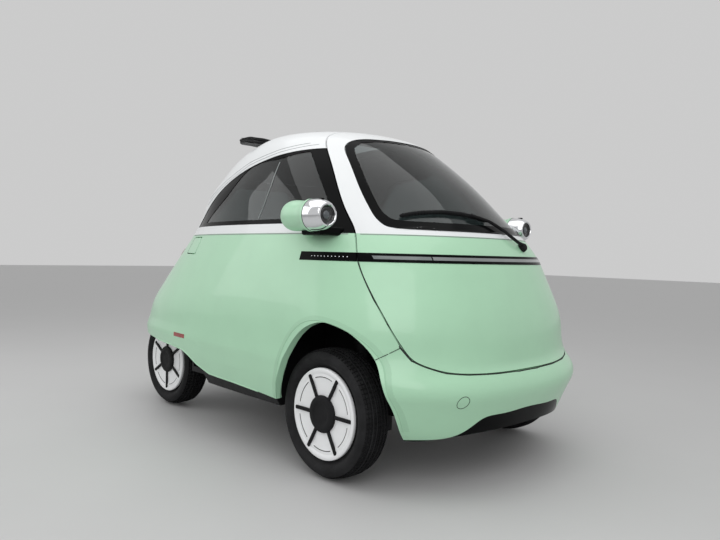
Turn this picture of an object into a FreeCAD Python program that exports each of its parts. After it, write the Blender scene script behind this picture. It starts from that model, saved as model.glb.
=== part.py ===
import FreeCAD, Part
import math
import os

Vector = FreeCAD.Vector

# A two-seat microcar with a single front door. Millimetres, +X forward, +Y the car's left, +Z up,
# the origin on the ground under the middle of the car.

# Body, overall
body_length = 2519.0
body_width = 1473.0
roof_height = 1503.0
crown_rise = 5.0
crown_radius = 4.0
skin_step = 0.75
turn_step = 0.01
overshoot_share = 1.2
along_limit = 0.99
wall = 34.0
glass_thickness = 5.0
glass_inset = 4.0
surround_inset = 2.0
panel_gap = 5.5
wheel_gap = 6.5
shortest_edge = 0.05
belt_height = 990.0
rear_panel_front = -630.0
overrun = 30.0

# Wheels and axles
wheelbase = 1566.0
front_overhang = 546.0
front_track = 1214.0
rear_track = 930.0
tyre_radius = 266.5
tyre_width = 145.0
bead_radius = 163.0
bead_half_width = 42.0
barrel_wall = 13.0
barrel_half_width = 58.0
cover_radius = 184.0
cover_place = 57.0
cover_thickness = 6.0
hub_radius = 36.0
hub_start = -5.0
hub_seat = 10.0
spindle_reach = 34.0
bore_end_gap = 4.0
spoke_count = 6
front_spoke_turn = 30.0
spoke_width = 16.0
spoke_reach = 161.0
spoke_height = 2.5
cap_radius = 75.0
cap_height = 14.0
spindle_radius = 20.0
running_clearance = 0.05
seat_clearance = 0.3

# Steering and suspension
kingpin_offset = 30.0
kingpin_radius = 10.0
kingpin_depth = 16.0
upright_half_width = 20.0
upright_height = 205.0
arm_width = 32.0
arm_thickness = 14.0
arm_gap = 1.0
arm_root_place = 300.0
spring_radius = 34.0
spring_low = 330.0
spring_high = 600.0
damper_y = 455.0
rear_damper_y = 300.0
rear_spring_high = 540.0
upper_arm_radius = 9.0
upper_arm_sweep = 90.0
upper_eye_radius = 18.0
damper_radius = 16.0
steering_arm_length = 95.0
beam_radius = 30.0
trailing_arm_place = 320.0
trailing_arm_radius = 22.0

# Front door
door_hinge_x = 790.0
door_hinge_y = 640.0
door_hinge_height = 92.0
door_pin_radius = 9.0
door_barrel_radius = 15.0
hinge_room_radius = 38.0
door_arm_height = 30.0
door_arm_width = 22.0
door_base_height = 6.0
door_arm_reach = 228.0
door_bar_x = 1000.0
door_bar_depth = 50.0
door_bar_low = 800.0
door_bar_height = 60.0
door_bar_corner = 15.0
wiper_rise = 14.0
wiper_radius = 4.0
wiper_boss_radius = 12.0
wiper_boss_depth = 28.0

# Tailgate
tailgate_top = 1325.0
tailgate_bottom = 640.0
tailgate_half = 370.0
tailgate_corner = 90.0
tailgate_top_corner = 12.0
tailgate_pin_radius = 4.0
tailgate_knuckle_radius = 8.0
tailgate_knuckle_length = 24.0
tailgate_ear_length = 7.0
tailgate_ear_gap = 1.0
tailgate_knuckle_place = 120.0
tailgate_hinge_rise = 15.0
tailgate_leaf = 45.0
tailgate_leaf_thickness = 5.0
tailgate_web_start = 12.0
tailgate_web_end = 18.0

# Charge flap
flap_length = 150.0
flap_height = 90.0
flap_thickness = 12.0
flap_rear = -545.0
flap_low = 886.0
flap_corner = 14.0
flap_pin_radius = 2.5
flap_pin_depth = 7.0
flap_pin_place = 12.0
flap_pin_reach = 8.0
flap_turn_radius = 13.0

# Lamp pods
pod_x = 752.0
pod_y = 700.0
pod_z = 1057.0
pod_length = 246.0
pod_radius = 66.0
pod_lens_radius = 38.0
pod_mirror_radius = 32.0
pod_mirror_thickness = 4.0
pod_foot_length = 130.0
pod_foot_height = 36.0
pod_foot_corner = 11.0
pod_foot_drop = 12.0
pod_foot_x = 585.0
lens_depth = 24.0
lens_thickness = 14.0

# Strips and reflectors
strip_low = 878.0
strip_high = 913.0
strip_rear = 560.0
strip_depth = 8.0
tail_strip_front = -760.0
strip_proud = 1.5
reflector_rear = -432.0
reflector_length = 122.0
reflector_low = 460.0
reflector_height = 20.0

# Sunroof
sunroof_front = 215.0
sunroof_rear = -284.0
sunroof_half = 300.0
sunroof_corner = 60.0
sunroof_rim = 16.0
stack_x = -345.0
stack_low = 1474.0
stack_height = 50.0
stack_depth = 110.0
stack_half = 378.0
stack_corner = 22.0

# Floor, battery, motor and seat
floor_low = 240.0
floor_thickness = 28.0
floor_rear = -560.0
floor_wide_rear = -215.0
floor_rear_half = 530.0
riser_wide_low = 440.0
boot_floor_height = 590.0
boot_floor_thickness = 16.0
house_wall = 8.0
house_inner = 385.0
house_top = 650.0
house_front = 330.0
house_rear = 320.0
battery_length = 520.0
battery_half = 400.0
battery_height = 150.0
motor_length = 230.0
motor_half = 170.0
motor_height = 210.0
bench_rear = -330.0
bench_length = 500.0
bench_half = 560.0
bench_height = 130.0
bench_low = 440.0
back_height = 520.0
back_thickness = 110.0
back_lean = 14.0
base_wall = 20.0
base_half = 520.0
base_reach = 110.0
back_half = 470.0
back_rise = 12.0
bench_edge = 30.0
bench_back_gap = 6.0
battery_rear = -410.0
motor_drop = 10.0
sill_depth = 60.0
sill_high = 370.0
jack_pad_x = -100.0
jack_pad_y = 550.0
jack_pad_half = 35.0
jack_pad_depth = 8.0
front_beam_depth = 40.0
front_beam_high = 430.0

# Tow socket in the rear panel
tow_y = 200.0
tow_z = 480.0
tow_boss_radius = 16.0
tow_bore_radius = 8.0
tow_front = -1180.0
tow_bore_end = -1200.0
tow_rear = -1240.0

# Steering wheel and column
column_x = 470.0
column_y = 270.0
column_z = 880.0
column_radius = 22.0
column_foot_x = 960.0
rim_radius = 175.0
rim_section = 14.0
wheel_hub_radius = 60.0
wheel_hub_depth = 40.0
wheel_spoke_radius = 10.0
shaft_radius = 11.0
shaft_length = 90.0
hub_gap = 5.0
column_foot_radius = 40.0
column_foot_height = 10.0
pedal_x = 1010.0
pedal_lean = 60.0
pedal_height = 150.0
pedal_spread = 130.0
pedal_stem_radius = 8.0
stem_start_share = 0.2
pedal_pad_half = 32.0
pedal_pad_thickness = 14.0
pedal_pad_corner = 5.5
pedal_pad_tilt = 20.0

# Worked out from the sizes above
half_length = body_length / 2
half_width = body_width / 2
front_axle_x = half_length - front_overhang
rear_axle_x = front_axle_x - wheelbase
front_wheel_y = front_track / 2
rear_wheel_y = rear_track / 2
kingpin_y = front_wheel_y - kingpin_offset
floor_high = floor_low + floor_thickness

# The skin is a stack of level rings. Each row gives the height as a share of the roof's height, the
# nose, tail and widest place as shares of the half length, the half width as a share of its own, and
# two exponents of the ring's outline, front and rear.
ring_shares = [
    (0.133, 0.947, -0.869, 0.885, 0.4395, 2.58, 3.20),
    (0.1665, 0.964, -0.930, 0.937, 0.455, 2.53, 3.40),
    (0.1995, 0.979, -0.970, 0.967, 0.471, 2.50, 3.55),
    (0.2295, 0.993, -0.987, 0.980, 0.479, 2.55, 3.65),
    (0.256, 1.000, -0.994, 0.990, 0.487, 2.62, 3.70),
    (0.276, 0.994, -0.9975, 0.994, 0.487, 2.65, 3.70),
    (0.293, 0.980, -1.000, 0.997, 0.487, 2.65, 3.70),
    (0.3075, 0.962, -0.999, 1.000, 0.487, 2.64, 3.70),
    (0.3325, 0.953, -0.9945, 0.997, 0.487, 2.51, 3.60),
    (0.399, 0.948, -0.9745, 0.992, 0.479, 2.44, 3.40),
    (0.4655, 0.932, -0.930, 0.979, 0.455, 2.39, 3.10),
    (0.532, 0.905, -0.872, 0.952, 0.4315, 2.30, 2.90),
    (0.599, 0.872, -0.812, 0.920, 0.392, 2.28, 2.70),
    (0.6655, 0.819, -0.758, 0.8785, 0.336, 2.19, 2.50),
    (0.732, 0.747, -0.708, 0.836, 0.257, 2.10, 2.40),
    (0.7985, 0.667, -0.6475, 0.7945, 0.185, 2.07, 2.40),
    (0.865, 0.574, -0.558, 0.735, 0.130, 2.06, 2.30),
    (0.918, 0.491, -0.455, 0.676, 0.082, 2.05, 2.30),
    (0.9615, 0.409, -0.337, 0.606, 0.058, 2.08, 2.20),
    (0.988, 0.331, -0.230, 0.519, 0.050, 2.12, 2.10),
    (1.000, 0.248, -0.110, 0.357, 0.066, 2.20, 2.05),
]
ring_points = 48

# The front door's edge in side view, down the screen pillar and round under the door, as shares of
# the half length and of the roof's height.
door_edge_shares = [
    (0.252, 1.030), (0.254, 0.990), (0.266, 0.965), (0.288, 0.9415), (0.317, 0.9155),
    (0.372, 0.870), (0.4255, 0.821), (0.470, 0.777), (0.538, 0.715), (0.604, 0.6595),
    (0.657, 0.583), (0.735, 0.488), (0.785, 0.4285), (0.821, 0.374), (0.848, 0.340),
    (0.873, 0.3255), (0.912, 0.3095), (0.942, 0.3030), (0.975, 0.2985), (1.100, 0.2965),
]

# The side window's opening in side view, rear corner first, as the same shares.
window_edge_shares = [
    (-0.466, 0.687), (-0.405, 0.731), (-0.327, 0.771), (-0.180, 0.8375), (-0.019, 0.8815),
    (0.150, 0.9095), (0.256, 0.9205), (0.299, 0.9228),
]
clear_edge_shares = [
    (-0.330, 0.7000), (-0.255, 0.7390), (-0.140, 0.7965), (-0.058, 0.8640), (0.038, 0.8900),
    (0.158, 0.8960), (0.200, 0.9040), (0.266, 0.9125),
]
clear_front_shares = [(0.362, 0.8344), (0.4457, 0.7600), (0.508, 0.7000)]
window_low_share = 0.6860
quarter_rear = 573.0

# The screen's outline seen from the front, as shares of the half width and of the roof's height.
screen_shares = [
    (0.400, 0.6735), (0.560, 0.6745), (0.617, 0.6763), (0.636, 0.6805), (0.6455, 0.6911),
    (0.646, 0.7050), (0.637, 0.7260), (0.613, 0.7719), (0.592, 0.8055), (0.565, 0.8404),
    (0.520, 0.8909), (0.473, 0.9290), (0.395, 0.9526), (0.276, 0.9625), (0.150, 0.9650),
]
# The rear window's outline seen from behind, as the same shares.
rear_glass_shares = [
    (0.380, 0.6850), (0.424, 0.6950), (0.420, 0.7250), (0.333, 0.8150), (0.268, 0.8480),
    (0.208, 0.8560),
]

# A lamp pod's outline, rear and front part, as shares of its length and its radius.
pod_rear_shares = [(0.0, 0.560), (0.012, 0.680), (0.070, 0.850), (0.200, 0.960), (0.610, 1.000)]
pod_front_shares = [(0.610, 1.000), (0.780, 0.985), (0.910, 0.890), (1.000, 0.700)]

# A tyre's side from the bead to the tread, as shares of its section's height and half width.
tyre_side_shares = [
    (0.170, 0.560), (0.300, 0.700), (0.450, 0.900), (0.600, 1.000), (0.760, 0.985),
    (0.900, 0.880), (1.000, 0.660),
]

# A door arm's path about the hinge: angles in degrees and distances as shares of the arm's reach.
door_arm_shares = [
    (-125.0, 0.450), (-118.0, 0.840), (-104.0, 1.000), (-90.0, 1.000), (-75.0, 1.000), (-60.0, 1.020),
]

# The wiper from its pivot along the arm and blade, as shares of the half width and roof height.
wiper_shares = [
    (0.253, 0.6365), (0.120, 0.6480), (0.030, 0.6560), (-0.200, 0.6720), (-0.400, 0.6900),
    (-0.520, 0.7030),
]

# The front wheel arch about the wheel's centre, as shares of the tyre's radius.
arch_shares = [
    (-0.983, -0.400), (-0.983, -0.100), (-0.976, 0.060), (-0.927, 0.290), (-0.818, 0.540),
    (-0.675, 0.790), (-0.480, 1.060), (-0.250, 1.260), (0.075, 1.390), (0.375, 1.370),
    (0.640, 1.250), (0.865, 1.050), (1.040, 0.780), (1.170, 0.430), (1.190, 0.120),
    (1.160, -0.160), (1.130, -0.400),
]

# The lower edge of the sides in side view, from the arch to the tail.
sill_edge_shares = [
    (0.420, 0.1860), (0.257, 0.1975), (0.098, 0.2040), (-0.066, 0.2080), (-0.159, 0.2290),
    (-0.220, 0.2520), (-0.275, 0.2660), (-0.420, 0.2720), (-0.600, 0.2760), (-1.100, 0.2760),
]
# The front bumper's lower edge seen from the front.
bumper_edge_shares = [
    (0.000, 0.2000), (0.255, 0.1955), (0.377, 0.1880), (0.435, 0.1660), (0.500, 0.1470),
    (0.611, 0.1380), (0.750, 0.1340),
]
# The black lip's lower edge seen from the front, outer end first.
lip_edge_shares = [
    (0.700, 0.1300), (0.600, 0.1370), (0.495, 0.1440), (0.380, 0.1480), (0.240, 0.1500),
    (0.080, 0.1510),
]
# The joint line between a side and the bumper in side view.
bumper_joint_shares = [(0.700, 0.3130), (0.766, 0.3395), (0.798, 0.3580), (0.830, 0.3790)]


def level(height):
    """The ring row at a height, between the rows of the table by a smooth curve."""
    rows = ring_shares
    place = min(max(height / roof_height, rows[0][0]), rows[-1][0])
    k = 0
    while k < len(rows) - 2 and place > rows[k + 1][0]:
        k += 1
    low, high = rows[k], rows[k + 1]
    span = high[0] - low[0]
    t = (place - low[0]) / span
    before = rows[max(k - 1, 0)]
    after = rows[min(k + 2, len(rows) - 1)]
    values = []
    for j in range(1, len(low)):
        slope_low = (high[j] - before[j]) / (high[0] - before[0]) * span
        slope_high = (after[j] - low[j]) / (after[0] - low[0]) * span
        a = 2 * t ** 3 - 3 * t ** 2 + 1
        b = t ** 3 - 2 * t ** 2 + t
        c = 3 * t ** 2 - 2 * t ** 3
        d = t ** 3 - t ** 2
        values.append(a * low[j] + b * slope_low + c * high[j] + d * slope_high)
    return values


def ring_point(height, angle):
    """A point of the skin at a height, round its ring by an angle from the nose."""
    nose, tail, width, widest, front_power, rear_power = level(height)
    c, s = math.cos(angle), math.sin(angle)
    power = front_power if c >= 0 else rear_power
    reach = (nose - widest) if c >= 0 else (widest - tail)
    r = (abs(c) ** power + abs(s) ** power) ** (-1 / power)
    return Vector((widest + reach * r * c) * half_length, width * half_width * r * s, height)


def skin_y(x, height):
    """The skin's half width at a place along the car."""
    nose, tail, width, widest, front_power, rear_power = level(height)
    share = x / half_length - widest
    power = front_power if share >= 0 else rear_power
    reach = (nose - widest) if share >= 0 else (widest - tail)
    part = min(abs(share) / reach, 1)
    return width * half_width * (1 - part ** power) ** (1 / power)


def skin_end(y, height, front):
    """The skin's place along the car at a distance from the middle, at the nose or the tail."""
    nose, tail, width, widest, front_power, rear_power = level(height)
    power = front_power if front else rear_power
    part = min(abs(y) / (width * half_width), 1)
    reach = (nose - widest) if front else (tail - widest)
    return (widest + reach * (1 - part ** power) ** (1 / power)) * half_length


def skin_point(row, angle, depth):
    """A point at a depth under the skin, on the ring of a table row."""
    height = ring_shares[row][0] * roof_height
    centre = ring_point(height, angle)
    lower = max(height - skin_step, ring_shares[0][0] * roof_height)
    upper = min(height + skin_step, roof_height)
    along = ring_point(upper, angle) - ring_point(lower, angle)
    around = ring_point(height, angle + turn_step) - ring_point(height, angle - turn_step)
    normal = around.cross(along)
    normal.normalize()
    if row == 0:
        flat = Vector(normal.x, normal.y, 0)
        flat.normalize()
        return centre - flat * depth
    return centre - normal * depth


def skin_solid(depth, drop=0.0):
    """A closed solid whose side is the skin moved inwards by a depth."""
    angles = [2 * math.pi * k / ring_points + math.pi for k in range(ring_points)]
    rings = [[skin_point(i, a, depth) for a in angles] for i in range(len(ring_shares))]
    if drop:
        rings[0] = [Vector(p.x, p.y, p.z - drop) for p in rings[0]]
    crown_x = ring_shares[-1][4] * half_length
    crown_z = roof_height + crown_rise - depth
    rings.append([Vector(crown_x + crown_radius * math.cos(a), crown_radius * math.sin(a), crown_z)
                  for a in angles])
    around = [k / ring_points for k in range(ring_points + 1)]
    ring_poles = []
    for ring in rings:
        curve = Part.BSplineCurve()
        curve.interpolate(Points=ring, PeriodicFlag=True, Parameters=around)
        ring_poles.append(curve.getPoles())
        knots_u, mults_u = curve.getKnots(), curve.getMultiplicities()
    heights = [0.0]
    for i in range(1, len(rings)):
        steps = [rings[i][k].distanceToPoint(rings[i - 1][k]) for k in range(ring_points)]
        heights.append(heights[-1] + sum(steps) / ring_points)
    heights = [h / heights[-1] for h in heights]
    poles = []
    for j in range(len(ring_poles[0])):
        curve = Part.BSplineCurve()
        curve.interpolate(Points=[row[j] for row in ring_poles], Parameters=heights)
        poles.append(curve.getPoles())
        knots_v, mults_v = curve.getKnots(), curve.getMultiplicities()
    surface = Part.BSplineSurface()
    surface.buildFromPolesMultsKnots(poles, mults_u, mults_v, knots_u, knots_v, True, False, 3, 3)
    side = surface.toShape()
    caps = [Part.Face(Part.Wire(edge)) for edge in side.Edges if edge.isClosed()]
    faces = Part.makeCompound([side] + caps)
    faces.sewShape()
    return Part.Solid(faces.Shells[0])


def spline(points):
    """A smooth edge through points."""
    curve = Part.BSplineCurve()
    curve.interpolate(Points=points)
    return curve.toShape()


def line(a, b):
    """A straight edge."""
    return Part.makeLine(a, b)


def prism(edges, direction):
    """A solid swept from a closed chain of edges."""
    wire = Part.Wire(Part.__sortEdges__(edges))
    return Part.Face(wire).extrude(direction)


def side_points(shares):
    """Points of a side view on the middle plane, from shares of the half length and roof height."""
    return [Vector(a * half_length, 0, b * roof_height) for a, b in shares]


def box(x0, x1, y0, y1, z0, z1):
    """A box between two corners."""
    return Part.makeBox(x1 - x0, y1 - y0, z1 - z0, Vector(x0, y0, z0))


def rod(radius, start, end):
    """A round bar between two points."""
    axis = end - start
    return Part.makeCylinder(radius, axis.Length, start, axis)


def mirrored(shape):
    """The same shape on the other side of the car."""
    return shape.mirror(Vector(0, 0, 0), Vector(0, 1, 0))


def rounded_box(x0, x1, y0, y1, z0, z1, radius):
    """A box with every edge rounded."""
    block = box(x0, x1, y0, y1, z0, z1)
    return block.makeFillet(radius, block.Edges)


def export(name, *shapes):
    """Write one node from its solids."""
    solids = []
    for shape in shapes:
        solids += shape.Solids
    shape = solids[0] if len(solids) == 1 else Part.makeCompound(solids)
    shape.exportStep("parts/" + name + ".step")
    print(name, len(solids), round(shape.Volume / 1e6, 3), shape.isValid())


os.makedirs("parts", exist_ok=True)

# Skins at the depths that the panels use
outer = skin_solid(0.0)
inner = skin_solid(wall, overrun)
glass_outer = skin_solid(glass_inset, overrun)
glass_inner = skin_solid(glass_inset + glass_thickness, overrun)
proud = skin_solid(-strip_proud)
strip_inner = skin_solid(strip_depth, overrun)
surround_outer = skin_solid(surround_inset, overrun)
shell = outer.cut(inner)
glass_layer = glass_outer.cut(glass_inner)
strip_layer = proud.cut(strip_inner)
surround_layer = surround_outer.cut(inner)

# Side-view prisms across the whole car
across = Vector(0, 2 * body_width, 0)
far_side = Vector(0, -body_width, 0)
high = overshoot_share * roof_height
front_limit = overshoot_share * half_length


def door_prism(gap):
    """Everything in front of the door's edge, the edge moved towards the door by a gap."""
    points = side_points(door_edge_shares)
    edge = []
    for k, point in enumerate(points):
        along = points[min(k + 1, len(points) - 1)] - points[max(k - 1, 0)]
        along.normalize()
        edge.append(point + far_side + Vector(-along.z, 0, along.x) * gap)
    top = Vector(edge[0].x, edge[0].y, high)
    corner = Vector(front_limit, edge[0].y, high)
    last = Vector(front_limit, edge[0].y, edge[-1].z)
    edges = [spline(edge), line(last, corner), line(corner, top), line(top, edge[0])]
    if edge[-1].distanceToPoint(last) > shortest_edge:
        edges.append(line(edge[-1], last))
    return prism(edges, across)


def side_prism(points, closing):
    """A side-view prism from a smooth run of points closed by straight lines."""
    run = [p + far_side for p in points]
    rest = [p + far_side for p in closing]
    edges = [spline(run)]
    chain = [run[-1]] + rest + [run[0]]
    for a, b in zip(chain, chain[1:]):
        edges.append(line(a, b))
    return prism(edges, across)


door_space = door_prism(0.0)
door_solid_space = door_prism(panel_gap)
above_belt = box(-front_limit, front_limit, -body_width, body_width, belt_height, high)
below_belt = box(-front_limit, front_limit, -body_width, body_width, 0, belt_height)

# Arches, sills and the bumper's edges
arch_run = [Vector(front_axle_x + a * tyre_radius, 0, tyre_radius * (1 + b)) for a, b in arch_shares]
arch_space = side_prism(arch_run, [])
arch_space = arch_space.cut(box(0, front_limit, -house_inner, house_inner, 0, high))
sill_run = side_points(sill_edge_shares)
sill_space = side_prism(sill_run, [Vector(-front_limit, 0, 0), Vector(sill_run[0].x, 0, 0)])
joint_run = side_points(bumper_joint_shares)
joint_space = side_prism(joint_run, [Vector(front_limit, 0, joint_run[-1].z),
                                     Vector(front_limit, 0, 0), Vector(joint_run[0].x, 0, 0)])

bumper_half = [Vector(front_limit, a * half_width, b * roof_height) for a, b in bumper_edge_shares]
bumper_run = [Vector(p.x, -p.y, p.z) for p in reversed(bumper_half[1:])] + bumper_half
bumper_floor = Vector(0, 0, -bumper_run[0].z)
lip_space = prism([spline(bumper_run), line(bumper_run[-1], bumper_run[-1] + bumper_floor),
                   line(bumper_run[-1] + bumper_floor, bumper_run[0] + bumper_floor),
                   line(bumper_run[0] + bumper_floor, bumper_run[0])], Vector(-front_limit, 0, 0))


def end_outline(points, direction, x):
    """A prism along the car from a half outline seen from the front, mirrored about the middle."""
    half = [Vector(x, a * half_width, b * roof_height) for a, b in points]
    other = [Vector(x, -p.y, p.z) for p in half]
    edges = [spline(half), spline(other), line(half[0], other[0]), line(half[-1], other[-1])]
    return prism(edges, Vector(direction * front_limit, 0, 0))


def rounded_prism(block, way, radius, keep):
    """A block with its edges along a direction rounded, where a test holds."""
    edges = [e for e in block.Edges
             if abs(e.tangentAt(e.FirstParameter).dot(way)) > along_limit and keep(e.CenterOfMass)]
    return block.makeFillet(radius, edges)


def tailgate_prism(grow):
    """The tailgate's prism along the car, grown by a gap on every side."""
    half = tailgate_half + grow
    block = box(-front_limit, 0, -half, half, tailgate_bottom - grow, tailgate_top + grow)
    along_car = Vector(1, 0, 0)
    block = rounded_prism(block, along_car, tailgate_corner, lambda p: p.z < belt_height)
    return rounded_prism(block, along_car, tailgate_top_corner, lambda p: p.z > belt_height)


tailgate_space = tailgate_prism(panel_gap)
tailgate_solid_space = tailgate_prism(0.0)
rear_glass_space = end_outline(rear_glass_shares, 1, -front_limit)
screen_space = end_outline(screen_shares, -1, front_limit)

# Tyre's room while it steers, a ball about the kingpin
tread_half = tyre_side_shares[-1][1] * tyre_width / 2
steer_radius = math.hypot(tyre_radius, kingpin_offset + tread_half) + panel_gap
steer_room = [Part.makeSphere(steer_radius, Vector(front_axle_x, side * kingpin_y, tyre_radius))
              for side in (1, -1)]

# Rear tyres' room


def tyre_shape(grow):
    """A tyre with bulged sides, grown by a gap."""
    section = tyre_radius - bead_radius + grow
    flank = [Vector(0, b * tyre_width / 2 + grow, bead_radius + a * section) for a, b in tyre_side_shares]
    other = [Vector(0, -p.y, p.z) for p in flank]
    edges = [spline(flank), spline(other), line(flank[-1], other[-1])]
    edges += [line(flank[0], Vector(0, bead_half_width, bead_radius)),
              line(other[0], Vector(0, -bead_half_width, bead_radius)),
              line(Vector(0, bead_half_width, bead_radius), Vector(0, -bead_half_width, bead_radius))]
    face = Part.Face(Part.Wire(Part.__sortEdges__(edges)))
    return face.revolve(Vector(0, 0, 0), Vector(0, 1, 0), 360)


rear_room = []
for side in (1, -1):
    room = tyre_shape(wheel_gap)
    room.translate(Vector(rear_axle_x, side * rear_wheel_y, tyre_radius))
    rear_room.append(room)

# Body panels
fixed = shell.cut(door_space).cut(tailgate_space).cut(arch_space).cut(steer_room + rear_room)
lower = fixed.common(below_belt)
lower_rear = lower.cut(sill_space).cut(joint_space)
rear_middle = box(-front_limit, rear_panel_front, -tailgate_half, tailgate_half, 0, tailgate_bottom)
tow_end = Vector(tow_front, tow_y, tow_z)
tow_boss = rod(tow_boss_radius, Vector(tow_rear, tow_y, tow_z), tow_end)
tow_bore = rod(tow_bore_radius, Vector(-front_limit, tow_y, tow_z), Vector(tow_bore_end, tow_y, tow_z))
rear_panel = lower_rear.common(rear_middle).fuse(tow_boss).cut(tow_bore).removeSplitter()
sides = lower_rear.cut(rear_middle)
right_half = box(-front_limit, front_limit, -body_width, 0, 0, high)
left_half = box(-front_limit, front_limit, 0, body_width, 0, high)
front_low = lower.common(joint_space)
front_bumper = front_low.cut(lip_space)

# The black lip under the bumper
front_lip = front_low.common(lip_space).cut(end_outline(lip_edge_shares, -1, front_limit))

# Charge flap in a frame of its own: forward along the skin, inwards, and up the skin
flap_mid_x = flap_rear + flap_length / 2
flap_mid_z = flap_low + flap_height / 2


def right_skin(x, height):
    """A point of the right side's skin."""
    return Vector(x, -skin_y(x, height), height)


flap_origin = right_skin(flap_mid_x, flap_mid_z)
flap_along = right_skin(flap_rear + flap_length, flap_mid_z) - right_skin(flap_rear, flap_mid_z)
flap_along.normalize()
flap_up = right_skin(flap_mid_x, flap_low + flap_height) - right_skin(flap_mid_x, flap_low)
flap_up = flap_up - flap_along * flap_up.dot(flap_along)
flap_up.normalize()
flap_in = flap_up.cross(flap_along)
flap_frame = FreeCAD.Matrix(flap_along.x, flap_in.x, flap_up.x, flap_origin.x,
                            flap_along.y, flap_in.y, flap_up.y, flap_origin.y,
                            flap_along.z, flap_in.z, flap_up.z, flap_origin.z,
                            0, 0, 0, 1)


def in_flap_frame(shape):
    """A shape made about the origin, placed in the flap's frame."""
    moved = shape.copy()
    moved.transformShape(flap_frame)
    return moved


def flap_block(grow):
    """The flap's rounded outline, grown by a gap, through the skin."""
    a, b = flap_length / 2 + grow, flap_height / 2 + grow
    block = box(-a, a, -overrun, overrun, -b, b)
    return in_flap_frame(rounded_prism(block, Vector(0, 1, 0), flap_corner + grow, lambda p: True))


def flap_rod(radius, half):
    """A bar about the flap's pivot."""
    start = Vector(flap_length / 2 - flap_pin_place, flap_pin_depth, -half)
    return in_flap_frame(rod(radius, start, Vector(start.x, start.y, half)))


flap_edge = flap_height / 2 + panel_gap
flap_lid = outer.common(flap_block(0.0)).cut(skin_solid(flap_thickness, overrun))
charge_flap = flap_lid.fuse(flap_rod(flap_pin_radius, flap_edge + flap_pin_reach)).removeSplitter()
flap_pocket = outer.common(flap_block(panel_gap)).cut(skin_solid(flap_thickness + panel_gap, overrun))
flap_cuts = [flap_pocket, flap_rod(flap_turn_radius + panel_gap, flap_edge),
             flap_rod(flap_pin_radius + running_clearance, flap_edge + flap_pin_reach + arm_gap)]

strip_room = outer.cut(strip_inner)
side_strip_space = box(strip_rear, front_limit, -body_width, body_width, strip_low, strip_high)
strip_band = strip_layer.common(side_strip_space)
side_strips = strip_band.cut(door_space)
door_strip = strip_band.common(door_solid_space)
reflector_space = box(reflector_rear, reflector_rear + reflector_length, -body_width, body_width,
                      reflector_low, reflector_low + reflector_height)
reflectors = strip_layer.common(reflector_space)

rear_strip_space = box(-front_limit, tail_strip_front, -body_width, body_width, strip_low, strip_high)
strip_grooves = [space.common(strip_room) for space in
                 (side_strip_space, reflector_space, rear_strip_space)]
side_panels = sides.cut(strip_grooves)
tail_lamps = strip_layer.common(rear_strip_space).cut(tailgate_space)
side_right = side_panels.common(right_half).cut(flap_cuts)
house_roof = house_top + house_wall
hinge_room = Part.makeCylinder(hinge_room_radius, door_hinge_height + panel_gap,
                               Vector(door_hinge_x, door_hinge_y, house_roof))
side_left = side_panels.common(left_half).cut(hinge_room)

export("rear_panel", rear_panel)
export("front_bumper", front_bumper)
export("front_lip", front_lip)
export("side_panel_right", side_right)
export("side_panel_left", side_left)
export("side_strips", side_strips)
export("charge_flap", charge_flap)
export("red_lenses", reflectors, tail_lamps)

# Upper body with its windows
window_run = side_points(window_edge_shares)
window_low = window_low_share * roof_height
window_space = side_prism(window_run, [Vector(front_limit, 0, window_run[-1].z),
                                       Vector(front_limit, 0, window_low),
                                       Vector(window_run[0].x, 0, window_low)])
quarter_space = box(quarter_rear, front_limit, -body_width, body_width, belt_height, window_low)
window_space = window_space.fuse(quarter_space).removeSplitter()
clear_run = side_points(clear_edge_shares)
clear_front = side_points(clear_front_shares)
clear_space = prism([spline([p + far_side for p in clear_run]),
                     spline([p + far_side for p in [clear_run[-1]] + clear_front]),
                     line(clear_front[-1] + far_side, clear_run[0] + far_side)], across)
upper = fixed.common(above_belt)
sunroof_space = box(sunroof_rear, sunroof_front, -sunroof_half, sunroof_half, belt_height, high)
upwards = Vector(0, 0, 1)
sunroof_space = rounded_prism(sunroof_space, upwards, sunroof_corner, lambda p: True)
cabin_frame = upper.cut(window_space).cut(sunroof_space)
window_frames = surround_layer.common(above_belt).cut(door_space).common(window_space)
window_frames = window_frames.cut(clear_space)
side_windows = glass_layer.common(clear_space)

export("cabin_frame", cabin_frame)
export("window_frames", window_frames)
export("side_windows", side_windows)

# Front door
door_shell_solid = shell.common(door_solid_space)
door_green = door_shell_solid.common(below_belt).cut(strip_grooves[0])
door_white = door_shell_solid.common(above_belt).cut(screen_space)
windshield = glass_layer.common(screen_space).common(door_solid_space)

export("door_panel", door_green)
export("door_surround", door_white)
export("windshield", windshield)
export("door_strip", door_strip)

# Tailgate
tailgate_shell = shell.common(tailgate_solid_space)
tailgate_panel = tailgate_shell.common(below_belt).cut(strip_grooves[2])
tailgate_surround = tailgate_shell.common(above_belt).cut(rear_glass_space)
rear_window = glass_layer.common(rear_glass_space).common(tailgate_solid_space)
tailgate_strip = strip_layer.common(rear_strip_space).common(tailgate_solid_space)
export("tailgate_panel", tailgate_panel)
export("tailgate_surround", tailgate_surround)
export("rear_window", rear_window)
export("tailgate_strip", tailgate_strip)

# Roof opening's rim and the folded fabric behind it
rim_hole = box(sunroof_rear + sunroof_rim, sunroof_front - sunroof_rim,
               -sunroof_half + sunroof_rim, sunroof_half - sunroof_rim, belt_height, high)
rim_hole = rounded_prism(rim_hole, upwards, sunroof_corner - sunroof_rim, lambda p: True)
sunroof_frame = proud.cut(inner).common(sunroof_space).cut(rim_hole)
stack = rounded_box(stack_x - stack_depth / 2, stack_x + stack_depth / 2, -stack_half, stack_half,
                    stack_low, stack_low + stack_height, stack_corner)
folded_roof = stack.cut(skin_solid(-seat_clearance))
export("sunroof_frame", sunroof_frame)
export("folded_roof", folded_roof)

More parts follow.
